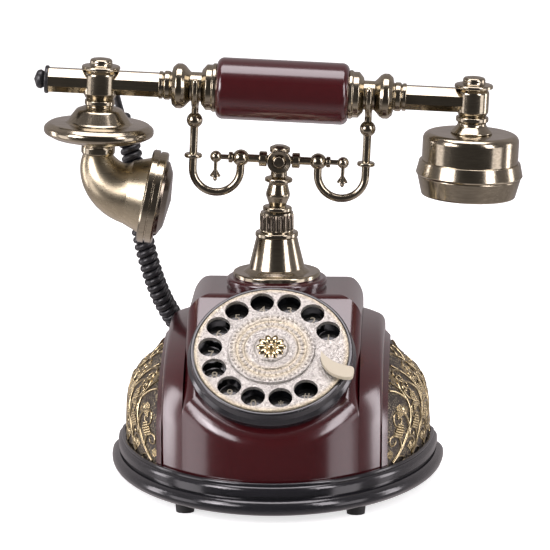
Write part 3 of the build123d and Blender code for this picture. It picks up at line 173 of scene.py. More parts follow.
# Plain finishes of the materials whose colour has no setting: name, colour and roughness
PLAIN_FINISHES = {
    "key_plastic": ("Key gloss", (0.008, 0.008, 0.008), 0.1),
    "black_plastic": ("Black plastic", (0.014, 0.014, 0.015), 0.32),
    "rubber": ("Foot rubber", (0.018, 0.018, 0.018), 0.6),
    "cord_rubber": ("Cord rubber", (0.014, 0.014, 0.016), 0.34),
    "circuit_board": ("Circuit board", (0.03, 0.14, 0.06), 0.4),
}
# Clean and dark colours of the metals that have no setting
STEEL_COLOURS = ((0.6, 0.6, 0.6), (0.3, 0.3, 0.3))
SATIN_COLOURS = ((0.64, 0.565, 0.405), (0.34, 0.285, 0.19))
SATIN_ROUGHNESS = 0.12
DARK_BRASS = (0.24, 0.205, 0.17)
VINE_SHADE = (0.12, 0.08, 0.03)
# Solids whose finish differs from the one that their material has elsewhere
PIECE_FINISHES = (("mouth_horn", "Satin brass"), ("mouth_cap", "Dark brass"))

# Foot (y) of each vine stem of one side panel and the way it leans
VINE_FEET = ((-0.0370, 1), (-0.0140, 1), (0.0085, 1), (0.0520, -1), (0.0740, -1))
VINE_FOOT_HEIGHT = 0.0226
# Heading of a stem at its foot, its length, gentle bend and final curl in degrees
VINE_STEM = (33, 0.066, 48, 92)
# The panels turn away from the front, so the vine is drawn wider than it is high
VINE_SPREAD = 1.35
# Tendrils of each stem: place along it, heading away from it, length and total curl in degrees
VINE_TENDRILS = (
    (0.14, 46, 0.024, 360),
    (0.34, 40, 0.034, 430),
    (0.56, 34, 0.038, 470),
    (0.76, 30, 0.022, 440),
    (0.05, -30, 0.018, -420),
    (0.22, -34, 0.024, -440),
    (0.42, -40, 0.024, -430),
    (0.64, -44, 0.022, -420),
    (0.84, -50, 0.016, -400),
)
# Leaves and grape bunches of each stem: place along it, side, distance and size
VINE_LEAVES = ((0.48, 1, 0.0044, 0.0036), (0.70, -1, 0.0050, 0.0040))
VINE_BUNCHES = (
    (0.24, 1, 0.0078, 0.0062),
    (0.02, 1, 0.0050, 0.0036),
    (0.46, 1, 0.0098, 0.0050),
    (0.54, -1, 0.0086, 0.0056),
)
# Turn of the leaves and of the bunches away from their stem, in degrees
LEAF_TURN = 40
BUNCH_TURN = -50
# Points of a stem: distance between them, fewest in a path and fewest on the panel
STEM_STEP = 0.0007
STEM_FEWEST_STEPS = 8
STEM_FEWEST_POINTS = 6
# Height of a stem's middle line above the panel as a share of its radius, and how much it thins
STEM_RISE = 0.35
STEM_THINNING = 0.4
# Fineness of a stem's round section
STEM_ROUNDING = 2
# Where the search for the panel starts beside the telephone, and how far outwards its face has to look
PANEL_SEARCH = 0.2
PANEL_FACING = 0.2
# Leaf that reaches one unit from its middle: half the number of its lobes, reach between them, height of its
# dome and of its veins, and how narrow the veins are
LEAF_HALF_LOBES = 2.5
LEAF_WAIST = 0.66
LEAF_DOME = 0.12
LEAF_VEIN = 0.0875
LEAF_VEIN_SHARPNESS = 6
# Grapes in each row of a bunch, from its top to its point
GRAPE_ROWS = (3, 4, 5, 6, 5, 4, 3, 2, 1)
# Grapes as shares of the row spacing: distance across, height of the middle one and fall to the sides
GRAPE_ACROSS = 1.15
GRAPE_RISE = 0.3
GRAPE_FALL = 0.04
GRAPE_FLATNESS = 0.85

# Cord: points between two places of its route, and turns over which the coil widens and narrows
ROUTE_STEPS = 40
COIL_RAMP_TURNS = 1.5
# Fineness of the wire's round section
CORD_ROUNDING = 3

# Lamps, which all face one point: name, place, size and power
LAMP_AIM = (0.0, 0.0, 0.13)
LAMP_COLOUR = (1.0, 0.94, 0.985)
LAMPS = (
    ("top_softbox", (0.0, -0.05, 1.35), (1.3, 0.7), 14.0),
    ("left_strip", (-0.92, -0.64, 0.58), (0.36, 0.86), 6.5),
    ("right_strip", (0.88, -0.70, 0.58), (0.36, 0.86), 6.5),
    ("left_low_strip", (-1.09, -0.24, -0.12), (0.46, 0.5), 1.1),
    ("right_low_strip", (1.05, -0.40, -0.12), (0.46, 0.5), 1.2),
    ("left_rear_strip", (-1.07, 0.25, 0.12), (0.23, 0.7), 2.1),
    ("right_rear_strip", (1.07, 0.25, 0.12), (0.23, 0.7), 2.1),
    ("front_fill", (-1.5, -1.6, 0.8), (0.9, 0.9), 15.0),
)
# Brightness of the background and of the floor: as light on the object, and as seen
WORLD_GLOW = (0.45, 1.0)
FLOOR_GLOW = (0.1, 0.68)
FLOOR_SIZE = 6.0
FLOOR_COLOUR = (0.92, 0.92, 0.92)
FLOOR_ROUGHNESS = 0.6
# Drape round the set: its glow from front to back, the glow below, and the height at which that ends
DRAPE_SIZE = 7.0
DRAPE_COLOUR = (0.03, 0.03, 0.03)
DRAPE_LIGHT = (1.0, 0.9, 0.92)
DRAPE_GLOW = (0.03, 0.34)
DRAPE_LOW_GLOW = 0.35
DRAPE_LOW_END = -1.4
SENSOR_WIDTH = 36.0


def colour_setting(name, description, default):
    """A colour for the sidebar."""
    return bpy.props.FloatVectorProperty(
        name=name, description=description, subtype="COLOR", size=3, min=0.0, max=1.0, default=default)


def length_setting(name, description, default, low, high):
    """A length for the sidebar."""
    return bpy.props.FloatProperty(
        name=name, description=description, unit="LENGTH", default=default, min=low, max=high)


def count_setting(name, description, default, low, high):
    """A whole number for the sidebar."""
    return bpy.props.IntProperty(name=name, description=description, default=default, min=low, max=high)


class PhoneFinishes(bpy.types.PropertyGroup):
    """Colours of the telephone's finishes"""

    lacquer: colour_setting("Red lacquer", "Deep red of the body and the grip", (0.036, 0.0030, 0.0042))
    black: colour_setting("Black lacquer", "Black of the plinth and the dial's moulding", (0.01, 0.01, 0.012))
    brass: colour_setting("Brushed brass", "Clean colour of the antique brass", (0.54, 0.482, 0.365))
    patina: colour_setting("Patina", "Dark colour that age leaves on the brass", (0.15, 0.122, 0.085))
    champagne: colour_setting("Finger wheel", "Pale metal of the finger wheel", (0.58, 0.56, 0.52))
    gold: colour_setting("Vine gold", "Gold of the vine relief", (0.74, 0.625, 0.39))
    ivory: colour_setting("Redial blade", "Cream of the redial key", (0.40, 0.355, 0.265))


class PhoneDial(bpy.types.PropertyGroup):
    """Sizes of the dial's marks and ornament"""

    mark_height: length_setting("Mark height", "Height of the numbers on the keys", 0.0052, 0.001, 0.01)
    outer_beads: count_setting("Outer beads", "Beads round the medallion's edge", 48, 8, 120)
    inner_petals: count_setting("Inner petals", "Petals in the medallion's middle band", 36, 8, 120)
    rosette_petals: count_setting("Rosette petals", "Petals of the rosette in the middle", 10, 4, 24)
    bead_radius: length_setting("Bead radius", "Radius of one bead", 0.00085, 0.0002, 0.003)


class PhoneCollar(bpy.types.PropertyGroup):
    """Sizes of the knurled collar's ribs"""

    ribs: count_setting("Ribs", "Ribs round the collar", 44, 12, 90)
    rib_radius: length_setting("Rib radius", "Radius of one rib", 0.00062, 0.0002, 0.002)
    end_margin: length_setting("End margin", "Plain band above and below the ribs", 0.0011, 0.0, 0.004)


class PhoneVine(bpy.types.PropertyGroup):
    """Sizes of the vine relief"""

    stem_radius: length_setting("Stem radius", "Radius of a stem where it starts", 0.00095, 0.0003, 0.003)
    tendril_radius: length_setting(
        "Tendril radius", "Radius of a tendril where it starts", 0.0008, 0.0002, 0.003)
    grape_size: bpy.props.FloatProperty(
        name="Grape size", description="Radius of one grape, as a share of half the bunch",
        default=0.125, min=0.05, max=0.3)


class PhoneCord(bpy.types.PropertyGroup):
    """Sizes of the curly handset cord"""

    wire: length_setting("Wire diameter", "Thickness of the cord's wire", 0.0042, 0.002, 0.006)
    coil: length_setting("Coil diameter", "Outer width of the coil", 0.0124, 0.006, 0.02)
    pitch: length_setting("Turn spacing", "Distance from one turn to the next", 0.0043, 0.003, 0.01)
    steps: count_setting("Steps in a turn", "Points along one turn of the coil", 18, 8, 48)


class PhoneStage(bpy.types.PropertyGroup):
    """Camera and floor"""

    azimuth: bpy.props.FloatProperty(
        name="Azimuth", description="Turn of the camera round the telephone", subtype="ANGLE",
        default=math.radians(2.4))
    elevation: bpy.props.FloatProperty(
        name="Elevation", description="Height of the camera above the horizon", subtype="ANGLE",
        default=math.radians(12.0))
    distance: bpy.props.FloatProperty(
        name="Distance", description="From the camera to the point it looks at", unit="LENGTH",
        default=2.5, min=0.5)
    view_width: bpy.props.FloatProperty(
        name="View width", description="Width of the picture at the point it looks at", unit="LENGTH",
        default=0.310, min=0.05)
    aim: bpy.props.FloatVectorProperty(
        name="Aim", description="Point that the camera looks at", subtype="TRANSLATION", size=3,
        default=(-0.001, 0.024, 0.1155))


def start_piece():
    """Leaves nothing selected, so that the next operator acts on the new piece alone."""
    bpy.ops.object.select_all(action="DESELECT")


def name_piece(name, material):
    """Names the active object and gives it one finish."""
    piece = bpy.context.object
    piece.name = name
    piece.data.name = name
    piece.data.materials.clear()
    piece.data.materials.append(material)
    return piece


def place_mesh(piece, matrix):
    """Moves a piece's mesh to its place and leaves its object at the origin."""
    piece.data.transform(matrix @ piece.matrix_basis)
    piece.matrix_basis = Matrix.Identity(4)
    piece.data.update()


def join_pieces(pieces, name):
    """Makes one piece of several."""
    start_piece()
    for piece in pieces:
        piece.select_set(True)
    bpy.context.view_layer.objects.active = pieces[0]
    bpy.ops.object.join()
    pieces[0].name = name
    pieces[0].data.name = name
    return pieces[0]


def smooth_piece(piece, angle=50):
    """Shades a piece smooth, apart from its sharp edges."""
    start_piece()
    piece.select_set(True)
    bpy.context.view_layer.objects.active = piece
    bpy.ops.object.shade_smooth_by_angle(angle=math.radians(angle))


def copy_piece(piece, matrix):
    """A copy of a piece with a mesh of its own, moved by a matrix."""
    twin = piece.copy()
    twin.data = piece.data.copy()
    twin.data.transform(matrix)
    bpy.context.scene.collection.objects.link(twin)
    return twin


def dial_matrix(height):
    """Place on the dial's middle line, at one height above its seat."""
    right = Vector((1, 0, 0))
    up = Vector((0, math.cos(DIAL_TILT), math.sin(DIAL_TILT)))
    out = right.cross(up)
    turn = Matrix((right, up, out)).transposed().to_4x4()
    return Matrix.Translation(DIAL_SEAT + out * height) @ turn


def new_finish(name):
    """A new material with its node list, its link list and its shader."""
    material = bpy.data.materials.new(name)
    material.use_nodes = True
    tree = material.node_tree
    return material, tree.nodes, tree.links, tree.nodes["Principled BSDF"]


def add_range(nodes, source, target):
    """A node that maps one range of values to another."""
    node = nodes.new("ShaderNodeMapRange")
    node.inputs["From Min"].default_value = source[0]
    node.inputs["From Max"].default_value = source[1]
    node.inputs["To Min"].default_value = target[0]
    node.inputs["To Max"].default_value = target[1]
    return node


def add_math(nodes, operation, kind="ShaderNodeMath"):
    """A node that works on numbers, or on vectors if its kind says so."""
    node = nodes.new(kind)
    node.operation = operation
    return node


def add_noise(nodes, scale, detail=2.0):
    """A cloudy pattern."""
    noise = nodes.new("ShaderNodeTexNoise")
    noise.inputs["Scale"].default_value = scale
    noise.inputs["Detail"].default_value = detail
    return noise


def add_mix(nodes):
    """A node that mixes two colours."""
    mix = nodes.new("ShaderNodeMix")
    mix.data_type = "RGBA"
    return mix


def add_relief(nodes, links, shader, height, relief):
    """Gives a shader a fine relief of some strength and depth."""
    bump = nodes.new("ShaderNodeBump")
    bump.inputs["Strength"].default_value = relief[0]
    bump.inputs["Distance"].default_value = relief[1]
    links.new(height, bump.inputs["Height"])
    links.new(bump.outputs["Normal"], shader.inputs["Normal"])


def plain_finish(name, colour, roughness, coat=0.0):
    """A finish with a faint unevenness in its gloss."""
    material, nodes, links, shader = new_finish(name)
    shader.inputs["Base Color"].default_value = (*colour, 1.0)
    shader.inputs["Coat Weight"].default_value = coat
    shader.inputs["Coat Roughness"].default_value = COAT_ROUGHNESS
    place = nodes.new("ShaderNodeTexCoord")
    noise = add_noise(nodes, GLOSS_SCALE)
    spread = add_range(nodes, (0.0, 1.0), (roughness * (1 - GLOSS_CHANGE), roughness * (1 + GLOSS_CHANGE)))
    links.new(place.outputs["Object"], noise.inputs["Vector"])
    links.new(noise.outputs["Fac"], spread.inputs["Value"])
    links.new(spread.outputs["Result"], shader.inputs["Roughness"])
    return material


def worn_metal_group():
    """Shader group: colour, gloss and relief of old brushed metal."""
    group = bpy.data.node_groups.new("Worn metal", "ShaderNodeTree")
    for name, way, kind in WORN_METAL_SOCKETS:
        group.interface.new_socket(name, in_out=way, socket_type=kind)
    nodes = group.nodes
    links = group.links
    entry = nodes.new("NodeGroupInput")
    leave = nodes.new("NodeGroupOutput")
    place = nodes.new("ShaderNodeTexCoord")
    stretch = add_math(nodes, "MULTIPLY", "ShaderNodeVectorMath")
    grain = add_noise(nodes, 1.0, detail=4.0)
    cloud = add_noise(nodes, PATINA_SCALE, detail=3.0)
    share = add_range(nodes, *PATINA_CLOUDS)
    streak = add_range(nodes, *PATINA_SCRATCHES)
    both = add_math(nodes, "ADD")
    both.use_clamp = True
    mix = add_mix(nodes)
    gloss = add_range(nodes, (0.0, 1.0), METAL_ROUGHNESS)
    satin = add_math(nodes, "ADD")
    links.new(place.outputs["Object"], stretch.inputs[0])
    links.new(entry.outputs["Grain"], stretch.inputs[1])
    links.new(stretch.outputs["Vector"], grain.inputs["Vector"])
    links.new(place.outputs["Object"], cloud.inputs["Vector"])
    links.new(cloud.outputs["Fac"], share.inputs["Value"])
    links.new(grain.outputs["Fac"], streak.inputs["Value"])
    links.new(share.outputs["Result"], both.inputs[0])
    links.new(streak.outputs["Result"], both.inputs[1])
    links.new(both.outputs["Value"], mix.inputs["Factor"])
    links.new(entry.outputs["Clean"], mix.inputs["A"])
    links.new(entry.outputs["Dark"], mix.inputs["B"])
    links.new(grain.outputs["Fac"], gloss.inputs["Value"])
    links.new(gloss.outputs["Result"], satin.inputs[0])
    links.new(entry.outputs["Satin"], satin.inputs[1])
    links.new(mix.outputs["Result"], leave.inputs["Colour"])
    links.new(satin.outputs["Value"], leave.inputs["Roughness"])
    links.new(grain.outputs["Fac"], leave.inputs["Height"])
    return group


def brushed_finish(name, group, clean, dark, grain, satin=0.0):
    """Old brushed metal with scratches across the larger grain numbers, rougher by the satin number."""
    material, nodes, links, shader = new_finish(name)
    shader.inputs["Metallic"].default_value = 1.0
    worn = nodes.new("ShaderNodeGroup")
    worn.node_tree = group
    worn.inputs["Clean"].default_value = (*clean, 1.0)
    worn.inputs["Dark"].default_value = (*dark, 1.0)
    worn.inputs["Grain"].default_value = grain
    worn.inputs["Satin"].default_value = satin
    links.new(worn.outputs["Colour"], shader.inputs["Base Color"])
    links.new(worn.outputs["Roughness"], shader.inputs["Roughness"])
    add_relief(nodes, links, shader, worn.outputs["Height"], BRUSHED_RELIEF)
    return material


def dial_gold(nodes, links, place):
    """Share of gold at a point of the dial, which is high on the worn rim and on the medallion's rings."""
    seat = add_math(nodes, "SUBTRACT", "ShaderNodeVectorMath")
    seat.inputs[1].default_value = DIAL_SEAT
    across = add_math(nodes, "CROSS_PRODUCT", "ShaderNodeVectorMath")
    across.inputs[1].default_value = dial_matrix(0.0).col[2].xyz
    reach = add_math(nodes, "LENGTH", "ShaderNodeVectorMath")
    share = add_range(nodes, (0.0, WHEEL_RADIUS), (0.0, 1.0))
    ramp = nodes.new("ShaderNodeValToRGB")
    stops = ramp.color_ramp.elements
    for position, gold in DIAL_GOLD[1:-1]:
        stops.new(position).color = (gold, gold, gold, 1.0)
    for stop, (position, gold) in ((stops[0], DIAL_GOLD[0]), (stops[-1], DIAL_GOLD[-1])):
        stop.position = position
        stop.color = (gold, gold, gold, 1.0)
    links.new(place.outputs["Object"], seat.inputs[0])
    links.new(seat.outputs["Vector"], across.inputs[0])
    links.new(across.outputs["Vector"], reach.inputs[0])
    links.new(reach.outputs["Value"], share.inputs["Value"])
    links.new(share.outputs["Result"], ramp.inputs["Fac"])
    return ramp.outputs["Color"]


def hammered_finish(name, colour, gold):
    """Pale metal covered with small hammer marks, with painted shade in their hollows, and gold where it is
    worn.
    """
    material, nodes, links, shader = new_finish(name)
    shader.inputs["Metallic"].default_value = HAMMER_METALLIC
    shader.inputs["Roughness"].default_value = HAMMER_ROUGHNESS
    place = nodes.new("ShaderNodeTexCoord")
    marks = nodes.new("ShaderNodeTexVoronoi")
    marks.feature = "SMOOTH_F1"
    marks.inputs["Scale"].default_value = HAMMER_SCALE
    fine = add_noise(nodes, HAMMER_GRAIN_SCALE)
    height = add_math(nodes, "ADD")
    worn = add_mix(nodes)
    worn.inputs["A"].default_value = (*colour, 1.0)
    worn.inputs["B"].default_value = (*gold, 1.0)
    # Painted shade: the colour is multiplied darker by the hammer marks' pattern, standing in for shade in
    # the hollows
    shade = add_mix(nodes)
    shade.blend_type = "MULTIPLY"
    shade.inputs["B"].default_value = (*HAMMER_PAINTED_SHADE, 1.0)
    links.new(place.outputs["Object"], marks.inputs["Vector"])
    links.new(place.outputs["Object"], fine.inputs["Vector"])
    links.new(marks.outputs["Distance"], height.inputs[0])
    links.new(fine.outputs["Fac"], height.inputs[1])
    links.new(dial_gold(nodes, links, place), worn.inputs["Factor"])
    links.new(worn.outputs["Result"], shade.inputs["A"])
    links.new(marks.outputs["Distance"], shade.inputs["Factor"])
    links.new(shade.outputs["Result"], shader.inputs["Base Color"])
    add_relief(nodes, links, shader, height.outputs["Value"], BEATEN_RELIEF)
    return material


def stippled_finish(name, gold):
    """Dark ground of the vine panels, with gold left on its raised dots."""
    material, nodes, links, shader = new_finish(name)
    shader.inputs["Metallic"].default_value = STIPPLE_METALLIC
    shader.inputs["Roughness"].default_value = STIPPLE_ROUGHNESS
    place = nodes.new("ShaderNodeTexCoord")
    dots = nodes.new("ShaderNodeTexVoronoi")
    dots.inputs["Scale"].default_value = STIPPLE_SCALE
    cloud = add_noise(nodes, STIPPLE_PATCH_SCALE, detail=4.0)
    patch = add_range(nodes, *STIPPLE_PATCHES)
    lump = add_range(nodes, *STIPPLE_DOTS)
    worn = add_math(nodes, "MULTIPLY")
    worn.use_clamp = True
    mix = add_mix(nodes)
    mix.inputs["A"].default_value = (*STIPPLE_GROUND, 1.0)
    mix.inputs["B"].default_value = (*gold, 1.0)
    links.new(place.outputs["Object"], dots.inputs["Vector"])
    links.new(place.outputs["Object"], cloud.inputs["Vector"])
    links.new(dots.outputs["Distance"], lump.inputs["Value"])
    links.new(lump.outputs["Result"], worn.inputs[0])
    links.new(cloud.outputs["Fac"], patch.inputs["Value"])
    links.new(patch.outputs["Result"], worn.inputs[1])
    links.new(worn.outputs["Value"], mix.inputs["Factor"])
    links.new(mix.outputs["Result"], shader.inputs["Base Color"])
    add_relief(nodes, links, shader, lump.outputs["Result"], BEATEN_RELIEF)
    return material


class PHONE_OT_finishes(bpy.types.Operator):
    """Make every finish and give each solid piece its own"""

    bl_idname = "phone.finishes"
    bl_label = "Finishes"

    def execute(self, context):
        colours = context.scene.phone_finishes
        group = worn_metal_group()
        finishes = {slot: plain_finish(*look) for slot, look in PLAIN_FINISHES.items()}
        finishes["red_lacquer"] = plain_finish("Red lacquer", colours.lacquer, roughness=0.2, coat=1.0)
        finishes["black_lacquer"] = plain_finish("Black lacquer", colours.black, roughness=0.16, coat=0.5)
        finishes["ivory_metal"] = plain_finish("Ivory enamel", colours.ivory, roughness=0.5)
        finishes["gold_relief"] = stippled_finish("Stippled ground", colours.gold)
        finishes["champagne_metal"] = hammered_finish("Hammered champagne", colours.champagne, colours.gold)
        finishes["antique_brass"] = brushed_finish(
            "Antique brass", group, colours.brass, colours.patina, GRAIN_ALONG_X)
        finishes["steel"] = brushed_finish("Plain steel", group, *STEEL_COLOURS, GRAIN_ACROSS_X)
        brushed_finish("Satin brass", group, *SATIN_COLOURS, GRAIN_ALONG_X, satin=SATIN_ROUGHNESS)
        brushed_finish("Dark brass", group, DARK_BRASS, colours.patina, GRAIN_ALONG_X)
        brushed_finish("Vine gold", group, colours.gold, VINE_SHADE, GRAIN_EVEN)
        for subpart in frame["record"]["subparts"]:
            solid = frame["nodes"][subpart["node"]]
            solid.data.materials.clear()
            solid.data.materials.append(finishes[subpart["material_slot"]])
        for name, finish in PIECE_FINISHES:
            frame["nodes"][name].data.materials[0] = bpy.data.materials[finish]
        return {"FINISHED"}


class PHONE_OT_key_marks(bpy.types.Operator):
    """Put the pale number or sign on each key"""

    bl_idname = "phone.key_marks"
    bl_label = "Key numbers"

    def execute(self, context):
        height = context.scene.phone_dial.mark_height
        for i, (key, mark) in enumerate(KEY_MARKS):
            start_piece()
            bpy.ops.object.text_add()
            text = bpy.context.object
            text.data.body = mark
            text.data.align_x = "CENTER"
            text.data.align_y = "CENTER"
            text.data.size = height / MARK_CAPITAL
            text.data.extrude = MARK_THICKNESS
            bpy.ops.object.convert(target="MESH")
            piece = name_piece("mark_" + key, bpy.data.materials["Ivory enamel"])
            angle = math.radians(FIRST_HOLE_ANGLE + HOLE_SPACING_ANGLE * i)
            place = Vector((math.cos(angle), math.sin(angle), 0)) * HOLE_PITCH_RADIUS
            place_mesh(piece, dial_matrix(KEY_TOP + MARK_LIFT) @ Matrix.Translation(place))
            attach(piece, "key_%s_body" % key)
        return {"FINISHED"}


def add_bead(radius, flat, name, material):
    """One bead at the origin, flattened along Z."""
    start_piece()
    bpy.ops.mesh.primitive_uv_sphere_add(segments=10, ring_count=5, radius=radius)
    bpy.ops.transform.resize(value=(1.0, 1.0, flat))
    piece = name_piece(name, material)
    place_mesh(piece, Matrix.Identity(4))
    smooth_piece(piece)
    return piece


def ring_of(piece, count, radius, place):
    """Copies of a piece in a ring about a place's Z, each pointing outwards; the piece itself is deleted."""
    copies = []
    for i in range(count):
        turn = Matrix.Rotation(2 * math.pi * i / count, 4, "Z")
        copies.append(copy_piece(piece, place @ turn @ Matrix.Translation((radius, 0, 0))))
    bpy.data.objects.remove(piece)
    return copies


class PHONE_OT_medallion(bpy.types.Operator):
    """Put the bead rings and the rosette on the medallion"""

    bl_idname = "phone.medallion"
    bl_label = "Medallion ornament"

    def execute(self, context):
        dial = context.scene.phone_dial
        metal = bpy.data.materials["Hammered champagne"]
        gold = bpy.data.materials["Vine gold"]
        bead = add_bead(dial.bead_radius, BEAD_FLATNESS, "outer_bead", metal)
        outer = ring_of(bead, dial.outer_beads, BEAD_RING_RADIUS, dial_matrix(MEDALLION_TOP))
        petal = add_bead(BAND_PETAL, BAND_PETAL_FLATNESS, "band_petal", metal)
        petal.data.transform(Matrix.Diagonal((1.0, BAND_PETAL_WIDTH, 1.0, 1.0)))
        band = ring_of(petal, dial.inner_petals, BAND_RADIUS, dial_matrix(MEDALLION_TOP + BAND_RISE))
        large = add_bead(ROSETTE_PETAL, ROSETTE_PETAL_FLATNESS, "rosette_petal", gold)
        large.data.transform(Matrix.Diagonal((1.0, ROSETTE_PETAL_WIDTH, 1.0, 1.0)))
        seat = dial_matrix(MEDALLION_TOP + ROSETTE_RISE)
        rosette = ring_of(large, dial.rosette_petals, ROSETTE_RADIUS, seat)
        middle = add_bead(ROSETTE_MIDDLE, ROSETTE_MIDDLE_FLATNESS, "rosette_middle", gold)
        rosette += ring_of(middle, 1, 0.0, dial_matrix(MEDALLION_TOP + ROSETTE_MIDDLE_RISE))
        rings = {"medallion_beads": outer, "medallion_band": band, "medallion_rosette": rosette}
        for name, copies in rings.items():
            piece = join_pieces(copies, name)
            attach(piece, "base")
        return {"FINISHED"}


class PHONE_OT_collar_ribs(bpy.types.Operator):
    """Put the fine ribs round the knurled collar"""

    bl_idname = "phone.collar_ribs"
    bl_label = "Collar ribs"

    def execute(self, context):
        collar = context.scene.phone_collar
        corners = [Vector(corner) for corner in frame["nodes"]["knurled_collar"].bound_box]
        middle = sum(corners, Vector()) / len(corners)
        size = corners[6] - corners[0]
        rib = self.add_rib(collar.rib_radius, size.z - 2 * collar.end_margin)
        ribs = ring_of(rib, collar.ribs, size.x / 2 - collar.rib_radius, Matrix.Translation(middle))
        piece = join_pieces(ribs, "collar_ribs")
        smooth_piece(piece)
        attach(piece, "base")
        return {"FINISHED"}

    def add_rib(self, radius, length):
        """One upright rib at the origin, with its ends rounded off."""
        start_piece()
        bpy.ops.mesh.primitive_cylinder_add(vertices=8, radius=radius, depth=length)
        rib = name_piece("collar_rib", bpy.data.materials["Dark brass"])
        for face in rib.data.polygons:
            face.select = abs(face.normal.z) > 0.5
        bpy.ops.object.mode_set(mode="EDIT")
        bpy.ops.mesh.select_mode(type="FACE")
        bpy.ops.mesh.bevel(offset=radius * RIB_END_ROUND, segments=2)
        bpy.ops.object.mode_set(mode="OBJECT")
        return rib


def vine_path(start, heading, length, bend, curl):
    """Points (y, z, heading) of a stem that bends gently and curls up at its end; angles given in degrees."""
    steps = max(STEM_FEWEST_STEPS, round(length / STEM_STEP))
    step = length / steps
    y, z = start
    angle = math.radians(heading)
    points = [(y, z, angle)]
    for i in range(steps):
        share = (i + 0.5) / steps
        angle += math.radians(bend) / steps + math.radians(curl) * 2 * share / steps
        y += math.cos(angle) * step * VINE_SPREAD
        z += math.sin(angle) * step
        points.append((y, z, angle))
    return points


class PanelGround:
    """Finds points on the outer face of one vine panel."""

    def __init__(self, solid, sign):
        mesh = solid.data
        corners = [vertex.co.copy() for vertex in mesh.vertices]
        faces = [tuple(polygon.vertices) for polygon in mesh.polygons]
        self.tree = BVHTree.FromPolygons(corners, faces)
        self.sign = sign

    def spot(self, y, z):
        """Point on the panel and the way out of it, or None beside the panel."""
        start = Vector((self.sign * PANEL_SEARCH, y, z))
        place, normal = self.tree.ray_cast(start, Vector((-self.sign, 0, 0)))[:2]
        if place is None or normal.x * self.sign < PANEL_FACING:
            return None
        return place, normal


def add_tube(places, radius, rounding, name, material, thinning=0.0):
    """A round tube along points, thinner by a share of its radius at each point."""
    start_piece()
    curve = bpy.data.curves.new(name, "CURVE")
    curve.dimensions = "3D"
    curve.bevel_depth = radius
    curve.bevel_resolution = rounding
    curve.use_fill_caps = True
    spline = curve.splines.new("POLY")
    spline.points.add(len(places) - 1)
    for i, (point, place) in enumerate(zip(spline.points, places)):
        point.co = (*place, 1.0)
        point.radius = 1.0 - thinning * i
    tube = bpy.data.objects.new(name, curve)
    bpy.context.scene.collection.objects.link(tube)
    tube.select_set(True)
    bpy.context.view_layer.objects.active = tube
    bpy.ops.object.convert(target="MESH")
    return name_piece(name, bpy.data.materials[material])


def add_stem(ground, path, radius, name):
    """A stem laid on the panel, thinner towards its end, or None where the panel is too small for it."""
    places = []
    for point in path:
        found = ground.spot(*point[:2])
        if found is None:
            break
        places.append(found[0] + found[1] * radius * STEM_RISE)
    if len(places) < STEM_FEWEST_POINTS:
        return None
    return add_tube(places, radius, STEM_ROUNDING, name, "Vine gold", STEM_THINNING / len(path))


def panel_frame(ground, y, z, angle):
    """Matrix that lays a flat piece on the panel with its X along a heading, or None beside the panel."""
    found = ground.spot(y, z)
    if found is None:
        return None
    place, out = found
    along = Vector((0, math.cos(angle), math.sin(angle)))
    along = (along - out * along.dot(out)).normalized()
    side = out.cross(along)
    return Matrix.Translation(place) @ Matrix((along, side, out)).transposed().to_4x4()


def add_leaf():
    """A domed five-lobed vine leaf at the origin, reaching one unit from its middle, its stalk along -X."""
    start_piece()
    bpy.ops.mesh.primitive_circle_add(vertices=40, radius=1.0, fill_type="TRIFAN")
    bpy.ops.object.mode_set(mode="EDIT")
    bpy.ops.mesh.subdivide(number_cuts=2)
    bpy.ops.object.mode_set(mode="OBJECT")
    piece = name_piece("vine_leaf", bpy.data.materials["Vine gold"])
    for vertex in piece.data.vertices:
        reach = min(1.0, vertex.co.length)
        angle = math.atan2(vertex.co.y, vertex.co.x)
        lobe = abs(math.cos(LEAF_HALF_LOBES * angle))
        width = reach * (LEAF_WAIST + (1 - LEAF_WAIST) * lobe)
        vein = LEAF_VEIN * lobe ** LEAF_VEIN_SHARPNESS * reach * (1 - reach)
        rise = LEAF_DOME * (1 - reach ** 2) + vein
        vertex.co = Vector((math.cos(angle) * width, math.sin(angle) * width, rise))
    return piece


def add_bunch(radius):
    """A bunch of grapes at the origin, one unit from its middle to its point, which lies along X."""
    beads = []
    pitch = 2 / len(GRAPE_ROWS)
    for row, count in enumerate(GRAPE_ROWS):
        for i in range(count):
            across = i - (count - 1) / 2
            rise = GRAPE_RISE - GRAPE_FALL * abs(across)
            place = (pitch * (row + 0.5) - 1, across * pitch * GRAPE_ACROSS, rise * pitch)
            bead = add_bead(radius, GRAPE_FLATNESS, "grape", bpy.data.materials["Vine gold"])
            bead.data.transform(Matrix.Translation(place))
            beads.append(bead)
    return join_pieces(beads, "grape_bunch")


